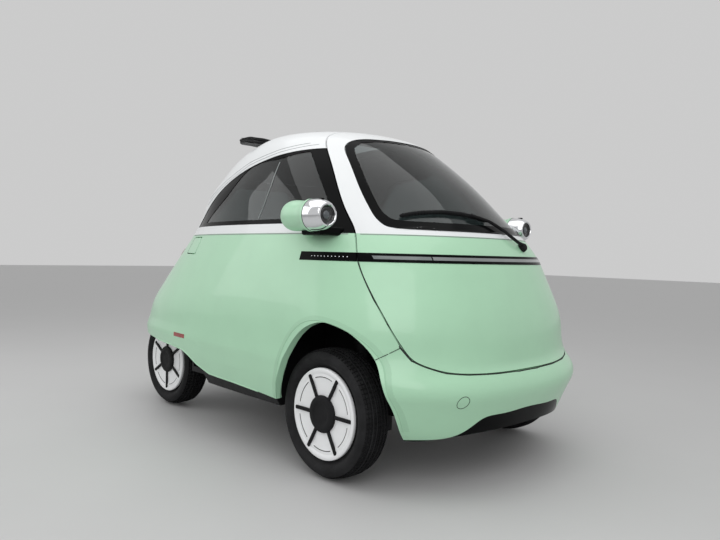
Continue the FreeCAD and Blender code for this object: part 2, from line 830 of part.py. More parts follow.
# Floor with its sills
house_front_x = front_axle_x + house_front
house_rear_x = front_axle_x - house_rear
floor_shape = box(floor_wide_rear, house_rear_x, -body_width, body_width, floor_low, floor_high)
floor_tail = box(floor_rear, floor_wide_rear, -floor_rear_half, floor_rear_half, floor_low, floor_high)
footwell = box(house_rear_x, house_front_x, -house_inner, house_inner, floor_low, floor_high)
front_floor = box(house_front_x, front_limit, -body_width, body_width, floor_low, floor_high)
sill_inner = skin_solid(wall + sill_depth, overrun)
sill_box = box(floor_wide_rear, house_rear_x, -body_width, body_width,
               floor_low, sill_high)
sills = inner.cut(sill_inner).common(sill_box)
jack_pads = [box(jack_pad_x - jack_pad_half, jack_pad_x + jack_pad_half, y - jack_pad_half,
                 y + jack_pad_half, floor_low - jack_pad_depth, floor_low)
             for y in (jack_pad_y, -jack_pad_y)]
floor_pan = floor_shape.fuse([floor_tail, footwell, front_floor]).common(inner)
floor_pan = floor_pan.fuse([sills] + jack_pads)
floor_pan = floor_pan.removeSplitter()
export("floor_pan", floor_pan)

# Cross wall behind the bumper
beam_inner = skin_solid(wall + front_beam_depth, overrun)
front_beam = inner.cut(beam_inner).common(
    box(house_front_x, front_limit, -body_width, body_width, floor_high, front_beam_high))
export("front_beam", front_beam)

# Raised floor over the rear wheels, with its riser
riser_front = floor_rear + boot_floor_thickness
riser = box(floor_rear, riser_front, -body_width, body_width, riser_wide_low,
            boot_floor_height + boot_floor_thickness)
riser_foot = box(floor_rear, riser_front, -floor_rear_half, floor_rear_half, floor_high, riser_wide_low)
boot_plate = box(-front_limit, floor_rear, -body_width, body_width, boot_floor_height,
                 boot_floor_height + boot_floor_thickness)
rear_floor = riser.fuse([riser_foot, boot_plate]).common(inner).removeSplitter()
export("rear_floor", rear_floor)

# Front wheelhouses
house = box(house_rear_x, house_front_x, house_inner, body_width, floor_low, house_top + house_wall)
house_hollow = box(house_rear_x + house_wall, house_front_x - house_wall, house_inner + house_wall,
                   body_width, 0, house_top)
door_band = door_prism(-panel_gap).cut(skin_solid(wall + panel_gap, overrun))
house_left = house.cut(house_hollow).common(inner).cut(door_band)
export("front_wheelhouses", house_left, mirrored(house_left))

# Battery under the seat, motor ahead of the rear axle
battery = box(battery_rear, battery_rear + battery_length, -battery_half, battery_half,
              floor_high, floor_high + battery_height)
export("battery_block", battery)
motor = box(floor_rear - motor_length, floor_rear, -motor_half, motor_half, floor_low + motor_drop,
            floor_low + motor_drop + motor_height)
export("motor_block", motor)

# Seat
bench_front = bench_rear + bench_length
base_outside = box(bench_rear - base_reach, bench_front, -base_half, base_half, floor_high, bench_low)
base_hollow = box(bench_rear - base_reach + base_wall, bench_front - base_wall,
                  -base_half + base_wall, base_half - base_wall, floor_high, bench_low - base_wall)
back_foot = Vector(bench_rear, 0, bench_low)
back_plate = box(-base_wall, 0, -back_half, back_half, 0, back_height)
back_plate.rotate(Vector(0, 0, 0), Vector(0, 1, 0), -back_lean)
back_plate.translate(back_foot)
seat_base = base_outside.cut(base_hollow).fuse(back_plate).removeSplitter()
export("seat_base", seat_base)
bench = rounded_box(bench_rear + bench_back_gap, bench_front, -bench_half, bench_half,
                    bench_low + seat_clearance, bench_low + bench_height, bench_edge)
export("bench_cushion", bench)
back = rounded_box(seat_clearance, back_thickness, -back_half, back_half,
                   bench_height + back_rise, back_height, bench_edge)
back.rotate(Vector(0, 0, 0), Vector(0, 1, 0), -back_lean)
back.translate(back_foot)
export("seat_back", back)

# Steering column, its wheel and the pedals
column_top = Vector(column_x, column_y, column_z)
column_foot = Vector(column_foot_x, column_y, floor_high)
column_axis = column_top - column_foot
column_axis.normalize()
shaft_start = column_top - column_axis * (wheel_hub_depth / 2 + shaft_length)
tube_end = column_top - column_axis * (wheel_hub_depth / 2 + hub_gap)
tube = rod(column_radius, column_foot - column_axis * overrun, tube_end)
tube = tube.cut(box(0, front_limit, -body_width, body_width, 0, floor_high))
tube = tube.cut(rod(shaft_radius + running_clearance, shaft_start - column_axis * hub_gap,
                    tube_end + column_axis * overrun))
column_plate = Part.makeCylinder(column_foot_radius, column_foot_height, column_foot)
export("steering_column", tube.fuse(column_plate).removeSplitter())
rim = Part.makeTorus(rim_radius, rim_section, column_top, column_axis)
hub = rod(wheel_hub_radius, column_top - column_axis * (wheel_hub_depth / 2),
          column_top + column_axis * (wheel_hub_depth / 2))
side_way = Vector(0, 1, 0)
down_way = column_axis.cross(side_way)
spokes = [rod(wheel_spoke_radius, column_top, column_top + way * rim_radius)
          for way in (side_way, side_way * -1, down_way)]
shaft = rod(shaft_radius, shaft_start, column_top)
export("steering_wheel", rim.fuse([hub, shaft] + spokes).removeSplitter())

pedal_shapes = []
for place in (column_y - pedal_spread / 2, column_y + pedal_spread / 2):
    stem_foot = Vector(pedal_x, place, floor_high)
    stem_top = Vector(pedal_x - pedal_lean, place, floor_high + pedal_height)
    stem = rod(pedal_stem_radius, stem_foot - (stem_top - stem_foot) * stem_start_share, stem_top)
    stem = stem.cut(box(0, front_limit, -body_width, body_width, 0, floor_high))
    pad = rounded_box(-pedal_pad_thickness, 0, -pedal_pad_half, pedal_pad_half,
                      -pedal_pad_half, pedal_pad_half, pedal_pad_corner)
    pad.rotate(Vector(0, 0, 0), Vector(0, 1, 0), pedal_pad_tilt)
    pad.translate(stem_top)
    pedal_shapes.append(stem.fuse(pad).removeSplitter())
export("pedals", *pedal_shapes)


# Wheels: every one is made about its centre with its outer side towards +Y


def wheel_shape():
    """A rim with its flat cover, hub, raised cap and six raised spokes."""
    out = Vector(0, 1, 0)

    def disc(radius, start, end):
        return rod(radius, out * start, out * end)

    barrel = disc(bead_radius, -barrel_half_width, cover_place).cut(
        disc(bead_radius - barrel_wall, -barrel_half_width - overrun, cover_place + overrun))
    cover = disc(cover_radius, cover_place, cover_place + cover_thickness)
    hub_block = disc(hub_radius, hub_start, cover_place)
    face = cover_place + cover_thickness
    cap = disc(cap_radius, face, face + cap_height)
    raised = []
    for k in range(spoke_count):
        turn = 360.0 * k / spoke_count
        bar = box(-spoke_width / 2, spoke_width / 2, face, face + spoke_height, cap_radius / 2,
                  spoke_reach)
        tip = rod(spoke_width / 2, Vector(0, face, spoke_reach),
                  Vector(0, face + spoke_height, spoke_reach))
        for piece in (bar, tip):
            piece.rotate(Vector(0, 0, 0), out, turn)
            raised.append(piece)
    body = barrel.fuse([cover, hub_block, cap] + raised)
    bore = disc(spindle_radius + running_clearance, hub_start - overrun, spindle_reach + bore_end_gap)
    return body.cut(bore).removeSplitter()


tyre = tyre_shape(0.0)
wheel = wheel_shape()
wheel_places = (("front_left", front_axle_x, front_wheel_y, front_spoke_turn),
                ("rear_left", rear_axle_x, rear_wheel_y, 0))
for name, x, y, turn in wheel_places:
    place = Vector(x, y, tyre_radius)
    for kind, shape in (("tyre", tyre), ("wheel", wheel)):
        left = shape.copy()
        left.rotate(Vector(0, 0, 0), Vector(0, 1, 0), turn)
        left.translate(place)
        export(kind + "_" + name, left)
        export(kind + "_" + name.replace("left", "right"), mirrored(left))

# Front knuckles on their kingpins
upright_low = tyre_radius - upright_height / 2
upright_high = tyre_radius + upright_height / 2
pin_hole_depth = kingpin_depth + arm_gap


def knuckle_shape():
    """The left knuckle: an upright, the wheel's spindle and the steering arm."""
    upright = box(front_axle_x - upright_half_width, front_axle_x + upright_half_width,
                  kingpin_y - upright_half_width, kingpin_y + upright_half_width,
                  upright_low, upright_high)
    spindle = rod(spindle_radius, Vector(front_axle_x, kingpin_y, tyre_radius),
                  Vector(front_axle_x, front_wheel_y + spindle_reach, tyre_radius))
    arm = box(front_axle_x - steering_arm_length, front_axle_x, kingpin_y - upright_half_width,
              kingpin_y - upright_half_width + arm_thickness,
              tyre_radius - arm_thickness, tyre_radius + arm_thickness)
    body = upright.fuse([spindle, arm])
    for start in (upright_low - overrun, upright_high - pin_hole_depth):
        body = body.cut(Part.makeCylinder(kingpin_radius + running_clearance, pin_hole_depth + overrun,
                                          Vector(front_axle_x, kingpin_y, start)))
    return body.removeSplitter()


knuckle = knuckle_shape()
export("knuckle_left", knuckle)
export("knuckle_right", mirrored(knuckle))

# Front suspension: lower arm, damper with spring, and upper arm
arm_top = upright_low - arm_gap
arm_low = arm_top - arm_thickness
lower_arm = box(front_axle_x - arm_width / 2, front_axle_x + arm_width / 2, arm_root_place,
                kingpin_y, arm_low, arm_top)
arm_eye = Part.makeCylinder(arm_width / 2, arm_thickness, Vector(front_axle_x, kingpin_y, arm_low))
low_pin = Part.makeCylinder(kingpin_radius, kingpin_depth + arm_gap,
                            Vector(front_axle_x, kingpin_y, arm_top))
root_block = box(front_axle_x - arm_width, front_axle_x + arm_width, arm_root_place,
                 arm_root_place + arm_width, arm_low, floor_low)
damper = Part.makeCylinder(damper_radius, house_top - arm_top, Vector(front_axle_x, damper_y, arm_top))
spring = Part.makeCylinder(spring_radius, spring_high - spring_low,
                           Vector(front_axle_x, damper_y, spring_low))
lower_set = lower_arm.fuse([arm_eye, low_pin, root_block, damper, spring]).removeSplitter()
eye_low = upright_high + arm_gap
upper_eye = Part.makeCylinder(upper_eye_radius, 2 * upper_arm_radius,
                              Vector(front_axle_x, kingpin_y, eye_low))
high_pin = Part.makeCylinder(kingpin_radius, kingpin_depth + arm_gap,
                             Vector(front_axle_x, kingpin_y, eye_low - kingpin_depth - arm_gap))
house_face = house_inner + house_wall
upper_root = Vector(front_axle_x - upper_arm_sweep, house_face, eye_low + upper_arm_radius)
upper_arm = rod(upper_arm_radius, upper_root, Vector(front_axle_x, kingpin_y, upper_root.z))
flange = rod(upper_eye_radius, upper_root, upper_root + Vector(0, upper_arm_radius, 0))
upper_set = upper_arm.fuse([upper_eye, high_pin, flange])
upper_set = upper_set.cut(box(0, front_limit, 0, house_face, 0, high)).removeSplitter()
export("front_suspension", lower_set, upper_set, mirrored(lower_set), mirrored(upper_set))

# Rear axle: beam with spindles, trailing arms and dampers with springs
beam_end = rear_wheel_y - hub_seat
rear_left = Vector(rear_axle_x, beam_end, tyre_radius)
rear_right = Vector(rear_axle_x, -beam_end, tyre_radius)
spindle_end = rear_wheel_y + spindle_reach
pieces = [rod(spindle_radius, Vector(rear_axle_x, -spindle_end, tyre_radius),
              Vector(rear_axle_x, spindle_end, tyre_radius))]
for sign in (1, -1):
    y = sign * trailing_arm_place
    pieces.append(box(rear_axle_x, floor_rear, y - trailing_arm_radius, y + trailing_arm_radius,
                      tyre_radius - trailing_arm_radius, tyre_radius + trailing_arm_radius))
    pieces.append(Part.makeCylinder(damper_radius, boot_floor_height - tyre_radius,
                                    Vector(rear_axle_x, sign * rear_damper_y, tyre_radius)))
    pieces.append(Part.makeCylinder(spring_radius, rear_spring_high - tyre_radius,
                                    Vector(rear_axle_x, sign * rear_damper_y, tyre_radius)))
rear_axle = rod(beam_radius, rear_right, rear_left).fuse(pieces).removeSplitter()
export("rear_axle", rear_axle)

# Door hinge: a post on the left wheelhouse and two cranked arms on the door
post_foot = Vector(door_hinge_x, door_hinge_y, house_roof)
post = Part.makeCylinder(door_pin_radius, door_hinge_height, post_foot)
post_base = Part.makeCylinder(door_barrel_radius, door_base_height, post_foot)
export("door_hinge_post", post.fuse(post_base).removeSplitter())


def door_arm(low):
    """One cranked arm, from its barrel round the front of the side panel to the door."""
    centre = Vector(door_hinge_x, door_hinge_y, low)
    points = [centre + Vector(math.cos(math.radians(a)), math.sin(math.radians(a)), 0) * r * door_arm_reach
              for a, r in door_arm_shares]
    points.append(Vector(front_limit, points[-1].y, low))
    chain = [centre] + points
    bars = []
    for a, b in zip(chain, chain[1:]):
        way = b - a
        bar = box(0, way.Length, -door_arm_width / 2, door_arm_width / 2, 0, door_arm_height)
        bar.rotate(Vector(0, 0, 0), Vector(0, 0, 1), math.degrees(math.atan2(way.y, way.x)))
        bar.translate(a)
        bars.append(bar)
        bars.append(Part.makeCylinder(door_arm_width / 2, door_arm_height, b))
    barrel = Part.makeCylinder(door_barrel_radius, door_arm_height, centre)
    arm = barrel.fuse(bars)
    hole = Part.makeCylinder(door_pin_radius + running_clearance, door_arm_height + 2 * overrun,
                             centre - Vector(0, 0, overrun))
    return arm.cut(hole).common(inner).removeSplitter()


arm_start = house_roof + door_base_height + arm_gap
top_start = house_roof + door_hinge_height - door_arm_height
export("door_hinge_arms", door_arm(arm_start), door_arm(top_start))

# Bar across the inside of the door
bar_shape = rounded_box(door_bar_x, door_bar_x + door_bar_depth, -body_width / 2, body_width / 2,
                        door_bar_low, door_bar_low + door_bar_height, door_bar_corner)
export("door_bar", bar_shape.common(inner))

# Wiper on the door, just above the screen
wiper_points = [Vector(skin_end(b, c, True) + wiper_rise, b, c)
                for b, c in [(y * half_width, z * roof_height) for y, z in wiper_shares]]
pivot = wiper_points[0]
wiper_pieces = [rod(wiper_boss_radius, pivot - Vector(wiper_boss_depth, 0, 0), pivot)]
for a, b in zip(wiper_points, wiper_points[1:]):
    wiper_pieces.append(rod(wiper_radius, a, b))
    wiper_pieces.append(Part.makeSphere(wiper_radius, b))
wiper = wiper_pieces[0].fuse(wiper_pieces[1:]).cut(outer).removeSplitter()
export("wiper", wiper)


# Tailgate hinges across the gap over its top edge
hinge_height = tailgate_top + panel_gap / 2


def tail_point(height):
    """A point of the tail's skin where the hinges stand."""
    return Vector(skin_end(tailgate_knuckle_place, height, False), 0, height)


hinge_up = tail_point(hinge_height + panel_gap) - tail_point(hinge_height - panel_gap)
hinge_up.normalize()
hinge_out = Vector(-hinge_up.z, 0, hinge_up.x)
hinge_centre = tail_point(hinge_height) + hinge_out * tailgate_hinge_rise
skin_place = -tailgate_hinge_rise


def hinge_bar(start, end, radius):
    """A round bar on the tailgate's axis between two places across the car."""
    across_car = Vector(0, 1, 0)
    return rod(radius, hinge_centre + across_car * start, hinge_centre + across_car * end)


def hinge_plate(u0, u1, n0, n1, start, end):
    """A plate beside the axis: along the skin, out of it, and across the car."""
    corners = [hinge_centre + hinge_up * u + hinge_out * n + Vector(0, start, 0)
               for u, n in ((u0, n0), (u1, n0), (u1, n1), (u0, n1))]
    wire = Part.makePolygon(corners + [corners[0]])
    return Part.Face(wire).extrude(Vector(0, end - start, 0))


def hinge_leaf(side, start, end):
    """A leaf from the knuckle's top over to the skin, on one side of the gap."""
    top = tailgate_knuckle_radius
    bridge = hinge_plate(0, side * tailgate_web_end, top - tailgate_leaf_thickness, top, start, end)
    web = hinge_plate(side * tailgate_web_start, side * tailgate_web_end, skin_place - overrun, top,
                      start, end)
    return bridge.fuse(web)


def hinge_foot(side, start, end):
    """The plate of a leaf that lies on the skin."""
    foot = skin_place + tailgate_leaf_thickness
    return hinge_plate(side * tailgate_web_start, side * tailgate_leaf, skin_place - overrun, foot,
                       start, end)


gate_pieces, frame_pieces = [], []
for side in (1, -1):
    mid = side * tailgate_knuckle_place
    near, far = mid - tailgate_knuckle_length / 2, mid + tailgate_knuckle_length / 2
    knuckle_piece = hinge_bar(near, far, tailgate_knuckle_radius)
    knuckle_piece = knuckle_piece.fuse([hinge_leaf(-1, near, far), hinge_foot(-1, near, far)])
    knuckle_piece = knuckle_piece.cut(hinge_bar(near - overrun, far + overrun,
                                                tailgate_pin_radius + running_clearance))
    gate_pieces.append(knuckle_piece.cut(outer).removeSplitter())
    inner_ear, outer_ear = near - tailgate_ear_gap, far + tailgate_ear_gap
    first, last = inner_ear - tailgate_ear_length, outer_ear + tailgate_ear_length
    ears = [hinge_bar(first, inner_ear, tailgate_knuckle_radius),
            hinge_bar(outer_ear, last, tailgate_knuckle_radius),
            hinge_leaf(1, first, inner_ear), hinge_leaf(1, outer_ear, last),
            hinge_foot(1, first, inner_ear), hinge_foot(1, outer_ear, last)]
    tie = hinge_plate(tailgate_web_end, tailgate_leaf, skin_place - overrun,
                      skin_place + tailgate_leaf_thickness, first, last)
    frame_piece = hinge_bar(first, last, tailgate_pin_radius).fuse(ears + [tie])
    frame_pieces.append(frame_piece.cut(outer).removeSplitter())
export("tailgate_hinge_leaves", *gate_pieces)
export("tailgate_hinge_posts", *frame_pieces)

# Lamp pods


def pod_half(profile, x_start):
    """A solid turned about the pod's axis from places and radii."""
    points = [Vector(x_start + a * pod_length, 0, b * pod_radius) for a, b in profile]
    edges = [spline(points), line(points[-1], Vector(points[-1].x, 0, 0)),
             line(Vector(points[-1].x, 0, 0), Vector(points[0].x, 0, 0))]
    if points[0].z > 0:
        edges.append(line(Vector(points[0].x, 0, 0), points[0]))
    face = Part.Face(Part.Wire(Part.__sortEdges__(edges)))
    solid = face.revolve(Vector(0, 0, 0), Vector(1, 0, 0), 360)
    solid.translate(Vector(0, -pod_y, pod_z))
    return solid


pod_rear = pod_x - pod_length
housing = pod_half(pod_rear_shares, pod_rear)
bezel = pod_half(pod_front_shares, pod_rear)
lens_start = Vector(pod_x - lens_depth, -pod_y, pod_z)
lens_hole = rod(pod_lens_radius, lens_start, lens_start + Vector(overrun, 0, 0))
bezel_ring = bezel.cut(lens_hole)
lens = rod(pod_lens_radius - seat_clearance, lens_start, lens_start + Vector(lens_thickness, 0, 0))
mirror_start = Vector(pod_rear, -pod_y, pod_z)
mirror_hole = rod(pod_mirror_radius, mirror_start - Vector(overrun, 0, 0),
                  mirror_start + Vector(pod_mirror_thickness, 0, 0))
mirror_glass = rod(pod_mirror_radius - seat_clearance, mirror_start + Vector(seat_clearance, 0, 0),
                   mirror_start + Vector(pod_mirror_thickness, 0, 0))
housing_cut = housing.cut(mirror_hole)
foot = rounded_box(pod_foot_x, pod_foot_x + pod_foot_length, -pod_y, 0, belt_height - pod_foot_drop,
                   belt_height + pod_foot_height - pod_foot_drop, pod_foot_corner)
foot = foot.cut(outer).cut(housing).cut(bezel)
foot = max(foot.Solids, key=lambda piece: piece.Volume)
export("lamp_housings", housing_cut, mirrored(housing_cut))
export("lamp_bezels", bezel_ring, mirrored(bezel_ring))
export("lamp_lenses", lens, mirrored(lens))
export("lamp_mirrors", mirror_glass, mirrored(mirror_glass))
export("lamp_feet", foot, mirrored(foot))
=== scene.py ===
"""The looks of a two-seat microcar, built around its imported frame.

Each sub-assembly is a class: its fields are sizes and places in metres, in the row frame (+X forward,
+Y the car's left, +Z up), and its methods build the meshes and dress them. Each finish is a frozen
dataclass that builds one procedural material.
"""

import logging
import math
from dataclasses import dataclass
from enum import Enum
from typing import Callable, Iterable, Sequence

import bmesh
import bpy
from mathutils import Matrix, Vector
from mathutils.bvhtree import BVHTree


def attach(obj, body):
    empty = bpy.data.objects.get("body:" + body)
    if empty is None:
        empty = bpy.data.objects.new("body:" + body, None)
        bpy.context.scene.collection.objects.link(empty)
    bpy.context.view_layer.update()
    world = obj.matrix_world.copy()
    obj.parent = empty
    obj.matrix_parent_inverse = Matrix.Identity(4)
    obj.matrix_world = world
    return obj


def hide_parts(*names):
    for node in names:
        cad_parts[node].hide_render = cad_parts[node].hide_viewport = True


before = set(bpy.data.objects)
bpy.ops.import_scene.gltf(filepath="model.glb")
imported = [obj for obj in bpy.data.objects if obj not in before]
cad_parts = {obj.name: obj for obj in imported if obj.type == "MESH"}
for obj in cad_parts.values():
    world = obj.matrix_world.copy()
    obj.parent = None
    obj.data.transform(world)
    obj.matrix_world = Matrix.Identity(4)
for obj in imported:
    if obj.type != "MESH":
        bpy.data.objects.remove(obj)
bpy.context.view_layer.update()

LOG = logging.getLogger("microcar")
Point = tuple[float, float, float]
Colour = tuple[float, float, float]
Flat = tuple[float, float]
BODY = "car_body"
DOOR = "door"
TAILGATE = "tailgate"
SEAT_PIVOT: Point = (-0.33, 0.0, 0.44)
EVEN: Point = (1.0, 1.0, 1.0)
MERGE = 0.00002
SKIN_MERGE = 0.00001


class Side(Enum):
    """The car's two sides, with the sign of their y."""

    RIGHT = -1
    LEFT = 1


# Each wheel's centre, its side and the turn of its spokes in degrees
CORNERS: dict[str, tuple[Point, Side, float]] = {
    "front_left": ((0.7135, 0.607, 0.2665), Side.LEFT, 30.0),
    "front_right": ((0.7135, -0.607, 0.2665), Side.RIGHT, 30.0),
    "rear_left": ((-0.8525, 0.465, 0.2665), Side.LEFT, 0.0),
    "rear_right": ((-0.8525, -0.465, 0.2665), Side.RIGHT, 0.0)}


class Bumps(Enum):
    """The kinds of fine relief that a finish can have."""

    NONE = "none"
    ORANGE_PEEL = "orange_peel"
    GRAIN = "grain"
    BRUSHED = "brushed"
    CAST = "cast"


# The detail and the stretch of the kinds of relief that are plain noise
NOISE_RELIEF: dict[Bumps, tuple[float, Point]] = {
    Bumps.ORANGE_PEEL: (1.0, EVEN), Bumps.BRUSHED: (2.0, (1.0, 0.03, 1.0)), Bumps.CAST: (6.0, EVEN)}


# Finishes


def shaded(tone: Colour, factor: float) -> Colour:
    """A colour times a factor, at most white."""
    return tuple(min(c * factor, 1.0) for c in tone)


class NodeDesk:
    """Adds and links the nodes of one material."""

    NOISE_ROUGHNESS = 0.55
    RAMP_ENDS = (0.35, 0.65)

    def __init__(self, name: str) -> None:
        """Start a material with a Principled shader.

        Args:
            name: The material's name.
        """
        self.material = bpy.data.materials.new(name)
        self.material.use_nodes = True
        self.tree = self.material.node_tree
        self.shader = self.tree.nodes["Principled BSDF"]

    def add(self, kind: str, **values: object) -> bpy.types.Node:
        """Add a node and set its properties or its inputs' values.

        Args:
            kind: The node's type name.
            **values: Properties by name, or inputs by name with spaces written as underscores.

        Returns:
            The new node.
        """
        node = self.tree.nodes.new(kind)
        for key, value in values.items():
            if hasattr(node, key):
                setattr(node, key, value)
            else:
                node.inputs[key.replace("_", " ")].default_value = value
        return node

    def link(self, source: bpy.types.NodeSocket, target: bpy.types.NodeSocket) -> None:
        """Link two sockets."""
        self.tree.links.new(source, target)

    def coordinates(self, scale: Point = EVEN) -> bpy.types.NodeSocket:
        """Object coordinates, scaled.

        Args:
            scale: The factors along X, Y and Z.

        Returns:
            The vector socket.
        """
        place = self.add("ShaderNodeTexCoord")
        mapping = self.add("ShaderNodeMapping", Scale=scale)
        self.link(place.outputs["Object"], mapping.inputs["Vector"])
        return mapping.outputs["Vector"]

    def noise(self, scale: float, detail: float = 3.0, stretch: Point = EVEN) -> bpy.types.Node:
        """Noise on object coordinates.

        Args:
            scale: The noise's scale, per metre.
            detail: Its detail.
            stretch: Factors on the coordinates.

        Returns:
            The noise node.
        """
        node = self.add("ShaderNodeTexNoise", Scale=scale, Detail=detail, Roughness=self.NOISE_ROUGHNESS)
        self.link(self.coordinates(stretch), node.inputs["Vector"])
        return node

    def tint(self, source: bpy.types.NodeSocket, dark: Colour, light: Colour) -> None:
        """Colour the shader between two colours by a factor.

        Args:
            source: The factor, from 0 to 1.
            dark: The colour at its low end.
            light: The colour at its high end.
        """
        ramp = self.add("ShaderNodeValToRGB")
        for stop, place, tone in zip(ramp.color_ramp.elements, self.RAMP_ENDS, (dark, light)):
            stop.position = place
            stop.color = (*tone, 1.0)
        self.link(source, ramp.inputs["Fac"])
        self.link(ramp.outputs["Color"], self.shader.inputs["Base Color"])

    def spread_roughness(self, source: bpy.types.NodeSocket, low: float, high: float) -> None:
        """Vary the shader's roughness between two values by a factor.

        Args:
            source: The factor, from 0 to 1.
            low: The roughness at 0.
            high: The roughness at 1.
        """
        spread = self.add("ShaderNodeMapRange", To_Min=low, To_Max=high)
        self.link(source, spread.inputs["Value"])
        self.link(spread.outputs["Result"], self.shader.inputs["Roughness"])

    def bump(self, source: bpy.types.NodeSocket, strength: float, distance: float) -> None:
        """Give the shader fine relief.

        Args:
            source: The height.
            strength: The bump's strength.
            distance: The bump's depth in metres.
        """
        node = self.add("ShaderNodeBump", Strength=strength, Distance=distance)
        self.link(source, node.inputs["Height"])
        self.link(node.outputs["Normal"], self.shader.inputs["Normal"])


@dataclass(frozen=True)
class SolidFinish:
    """A painted, moulded or metal surface."""

    name: str
    colour: Colour
    roughness: float = 0.4
    metallic: float = 0.0
    coat: float = 0.0
    bumps: Bumps = Bumps.NONE
    relief: float = 0.0003
    relief_scale: float = 400.0
    relief_strength: float = 0.6
    variation: float = 0.04
    patch_scale: float = 6.0
    smudge_factor: float = 7.0
    roughness_spread: float = 0.2
    coat_roughness: float = 0.06
    specular: float = 0.5

    def build(self) -> bpy.types.Material:
        """Build the material.

        Returns:
            The material, with slow patches of tone, a spread of roughness and fine relief.
        """
        desk = NodeDesk(self.name)
        for label, value in (("Metallic", self.metallic), ("Coat Weight", self.coat),
                             ("Coat Roughness", self.coat_roughness), ("Specular IOR Level", self.specular)):
            desk.shader.inputs[label].default_value = value
        patches = desk.noise(self.patch_scale)
        desk.tint(patches.outputs["Fac"], shaded(self.colour, 1 - self.variation),
                  shaded(self.colour, 1 + self.variation))
        smudges = desk.noise(self.patch_scale * self.smudge_factor)
        desk.spread_roughness(smudges.outputs["Fac"], self.roughness * (1 - self.roughness_spread),
                              self.roughness * (1 + self.roughness_spread))
        height = self._height(desk)
        if height is not None:
            desk.bump(height, self.relief_strength, self.relief)
        return desk.material

    def _height(self, desk: NodeDesk) -> bpy.types.NodeSocket | None:
        """The relief's height.

        Args:
            desk: The material's desk.

        Returns:
            The socket, or nothing for a surface without relief.
        """
        if self.bumps is Bumps.NONE:
            return None
        if self.bumps is Bumps.GRAIN:
            cells = desk.add("ShaderNodeTexVoronoi", Scale=self.relief_scale)
            desk.link(desk.coordinates(), cells.inputs["Vector"])
            return cells.outputs["Distance"]
        return desk.noise(self.relief_scale, *NOISE_RELIEF[self.bumps]).outputs["Fac"]


@dataclass(frozen=True)
class WovenFinish:
    """A woven cloth."""

    name: str
    colour: Colour
    thread: float = 0.0012
    roughness: float = 0.85
    roughness_spread: float = 0.07
    sheen: float = 0.3
    sheen_roughness: float = 0.5
    patch_scale: float = 5.0
    patch_tones: Flat = (0.82, 1.15)
    unevenness: float = 0.6
    relief_strength: float = 0.5
    relief_share: float = 0.3

    def build(self) -> bpy.types.Material:
        """Build the material.

        Returns:
            The material, with threads both ways, faded patches and a soft sheen.
        """
        desk = NodeDesk(self.name)
        desk.shader.inputs["Sheen Weight"].default_value = self.sheen
        desk.shader.inputs["Sheen Roughness"].default_value = self.sheen_roughness
        patches = desk.noise(self.patch_scale)
        dark, light = (shaded(self.colour, factor) for factor in self.patch_tones)
        desk.tint(patches.outputs["Fac"], dark, light)
        desk.spread_roughness(patches.outputs["Fac"], self.roughness - self.roughness_spread,
                              self.roughness + self.roughness_spread)
        ways = []
        for direction in ("X", "Y", "Z"):
            wave = desk.add("ShaderNodeTexWave", bands_direction=direction, Scale=1.0 / (2 * self.thread),
                            Distortion=self.unevenness)
            desk.link(desk.coordinates(), wave.inputs["Vector"])
            ways.append(wave.outputs["Fac"])
        height = ways[0]
        for operation, way in (("MULTIPLY", ways[1]), ("ADD", ways[2])):
            mix = desk.add("ShaderNodeMath", operation=operation)
            desk.link(height, mix.inputs[0])
            desk.link(way, mix.inputs[1])
            height = mix.outputs[0]
        desk.bump(height, self.relief_strength, self.thread * self.relief_share)
        return desk.material


@dataclass(frozen=True)
class GlassFinish:
    """Clear or tinted glass with a trace of dust."""

    name: str
    colour: Colour
    roughness: float = 0.0
    dust: float = 0.03
    refraction: float = 1.45
    patch_scale: float = 9.0
    patch_tone: float = 0.96

    def build(self) -> bpy.types.Material:
        """Build the material.

        Returns:
            The material, clear through, its roughness spread a little by dust.
        """
        desk = NodeDesk(self.name)
        desk.shader.inputs["Transmission Weight"].default_value = 1.0
        desk.shader.inputs["IOR"].default_value = self.refraction
        patches = desk.noise(self.patch_scale)
        desk.tint(patches.outputs["Fac"], shaded(self.colour, self.patch_tone), self.colour)
        desk.spread_roughness(patches.outputs["Fac"], self.roughness, self.roughness + self.dust)
        return desk.material


@dataclass(frozen=True)
class GlowFinish:
    """A small lamp's lit face behind clear plastic."""

    name: str
    colour: Colour
    glow: float = 0.6
    facet_scale: float = 900.0
    facet_tone: float = 0.7
    roughness: Flat = (0.1, 0.25)

    def build(self) -> bpy.types.Material:
        """Build the material.

        Returns:
            The material, faintly lit.
        """
        desk = NodeDesk(self.name)
        desk.shader.inputs["Emission Color"].default_value = (*self.colour, 1.0)
        desk.shader.inputs["Emission Strength"].default_value = self.glow
        facets = desk.noise(self.facet_scale, 1.0)
        desk.tint(facets.outputs["Fac"], shaded(self.colour, self.facet_tone), self.colour)
        desk.spread_roughness(facets.outputs["Fac"], *self.roughness)
        return desk.material


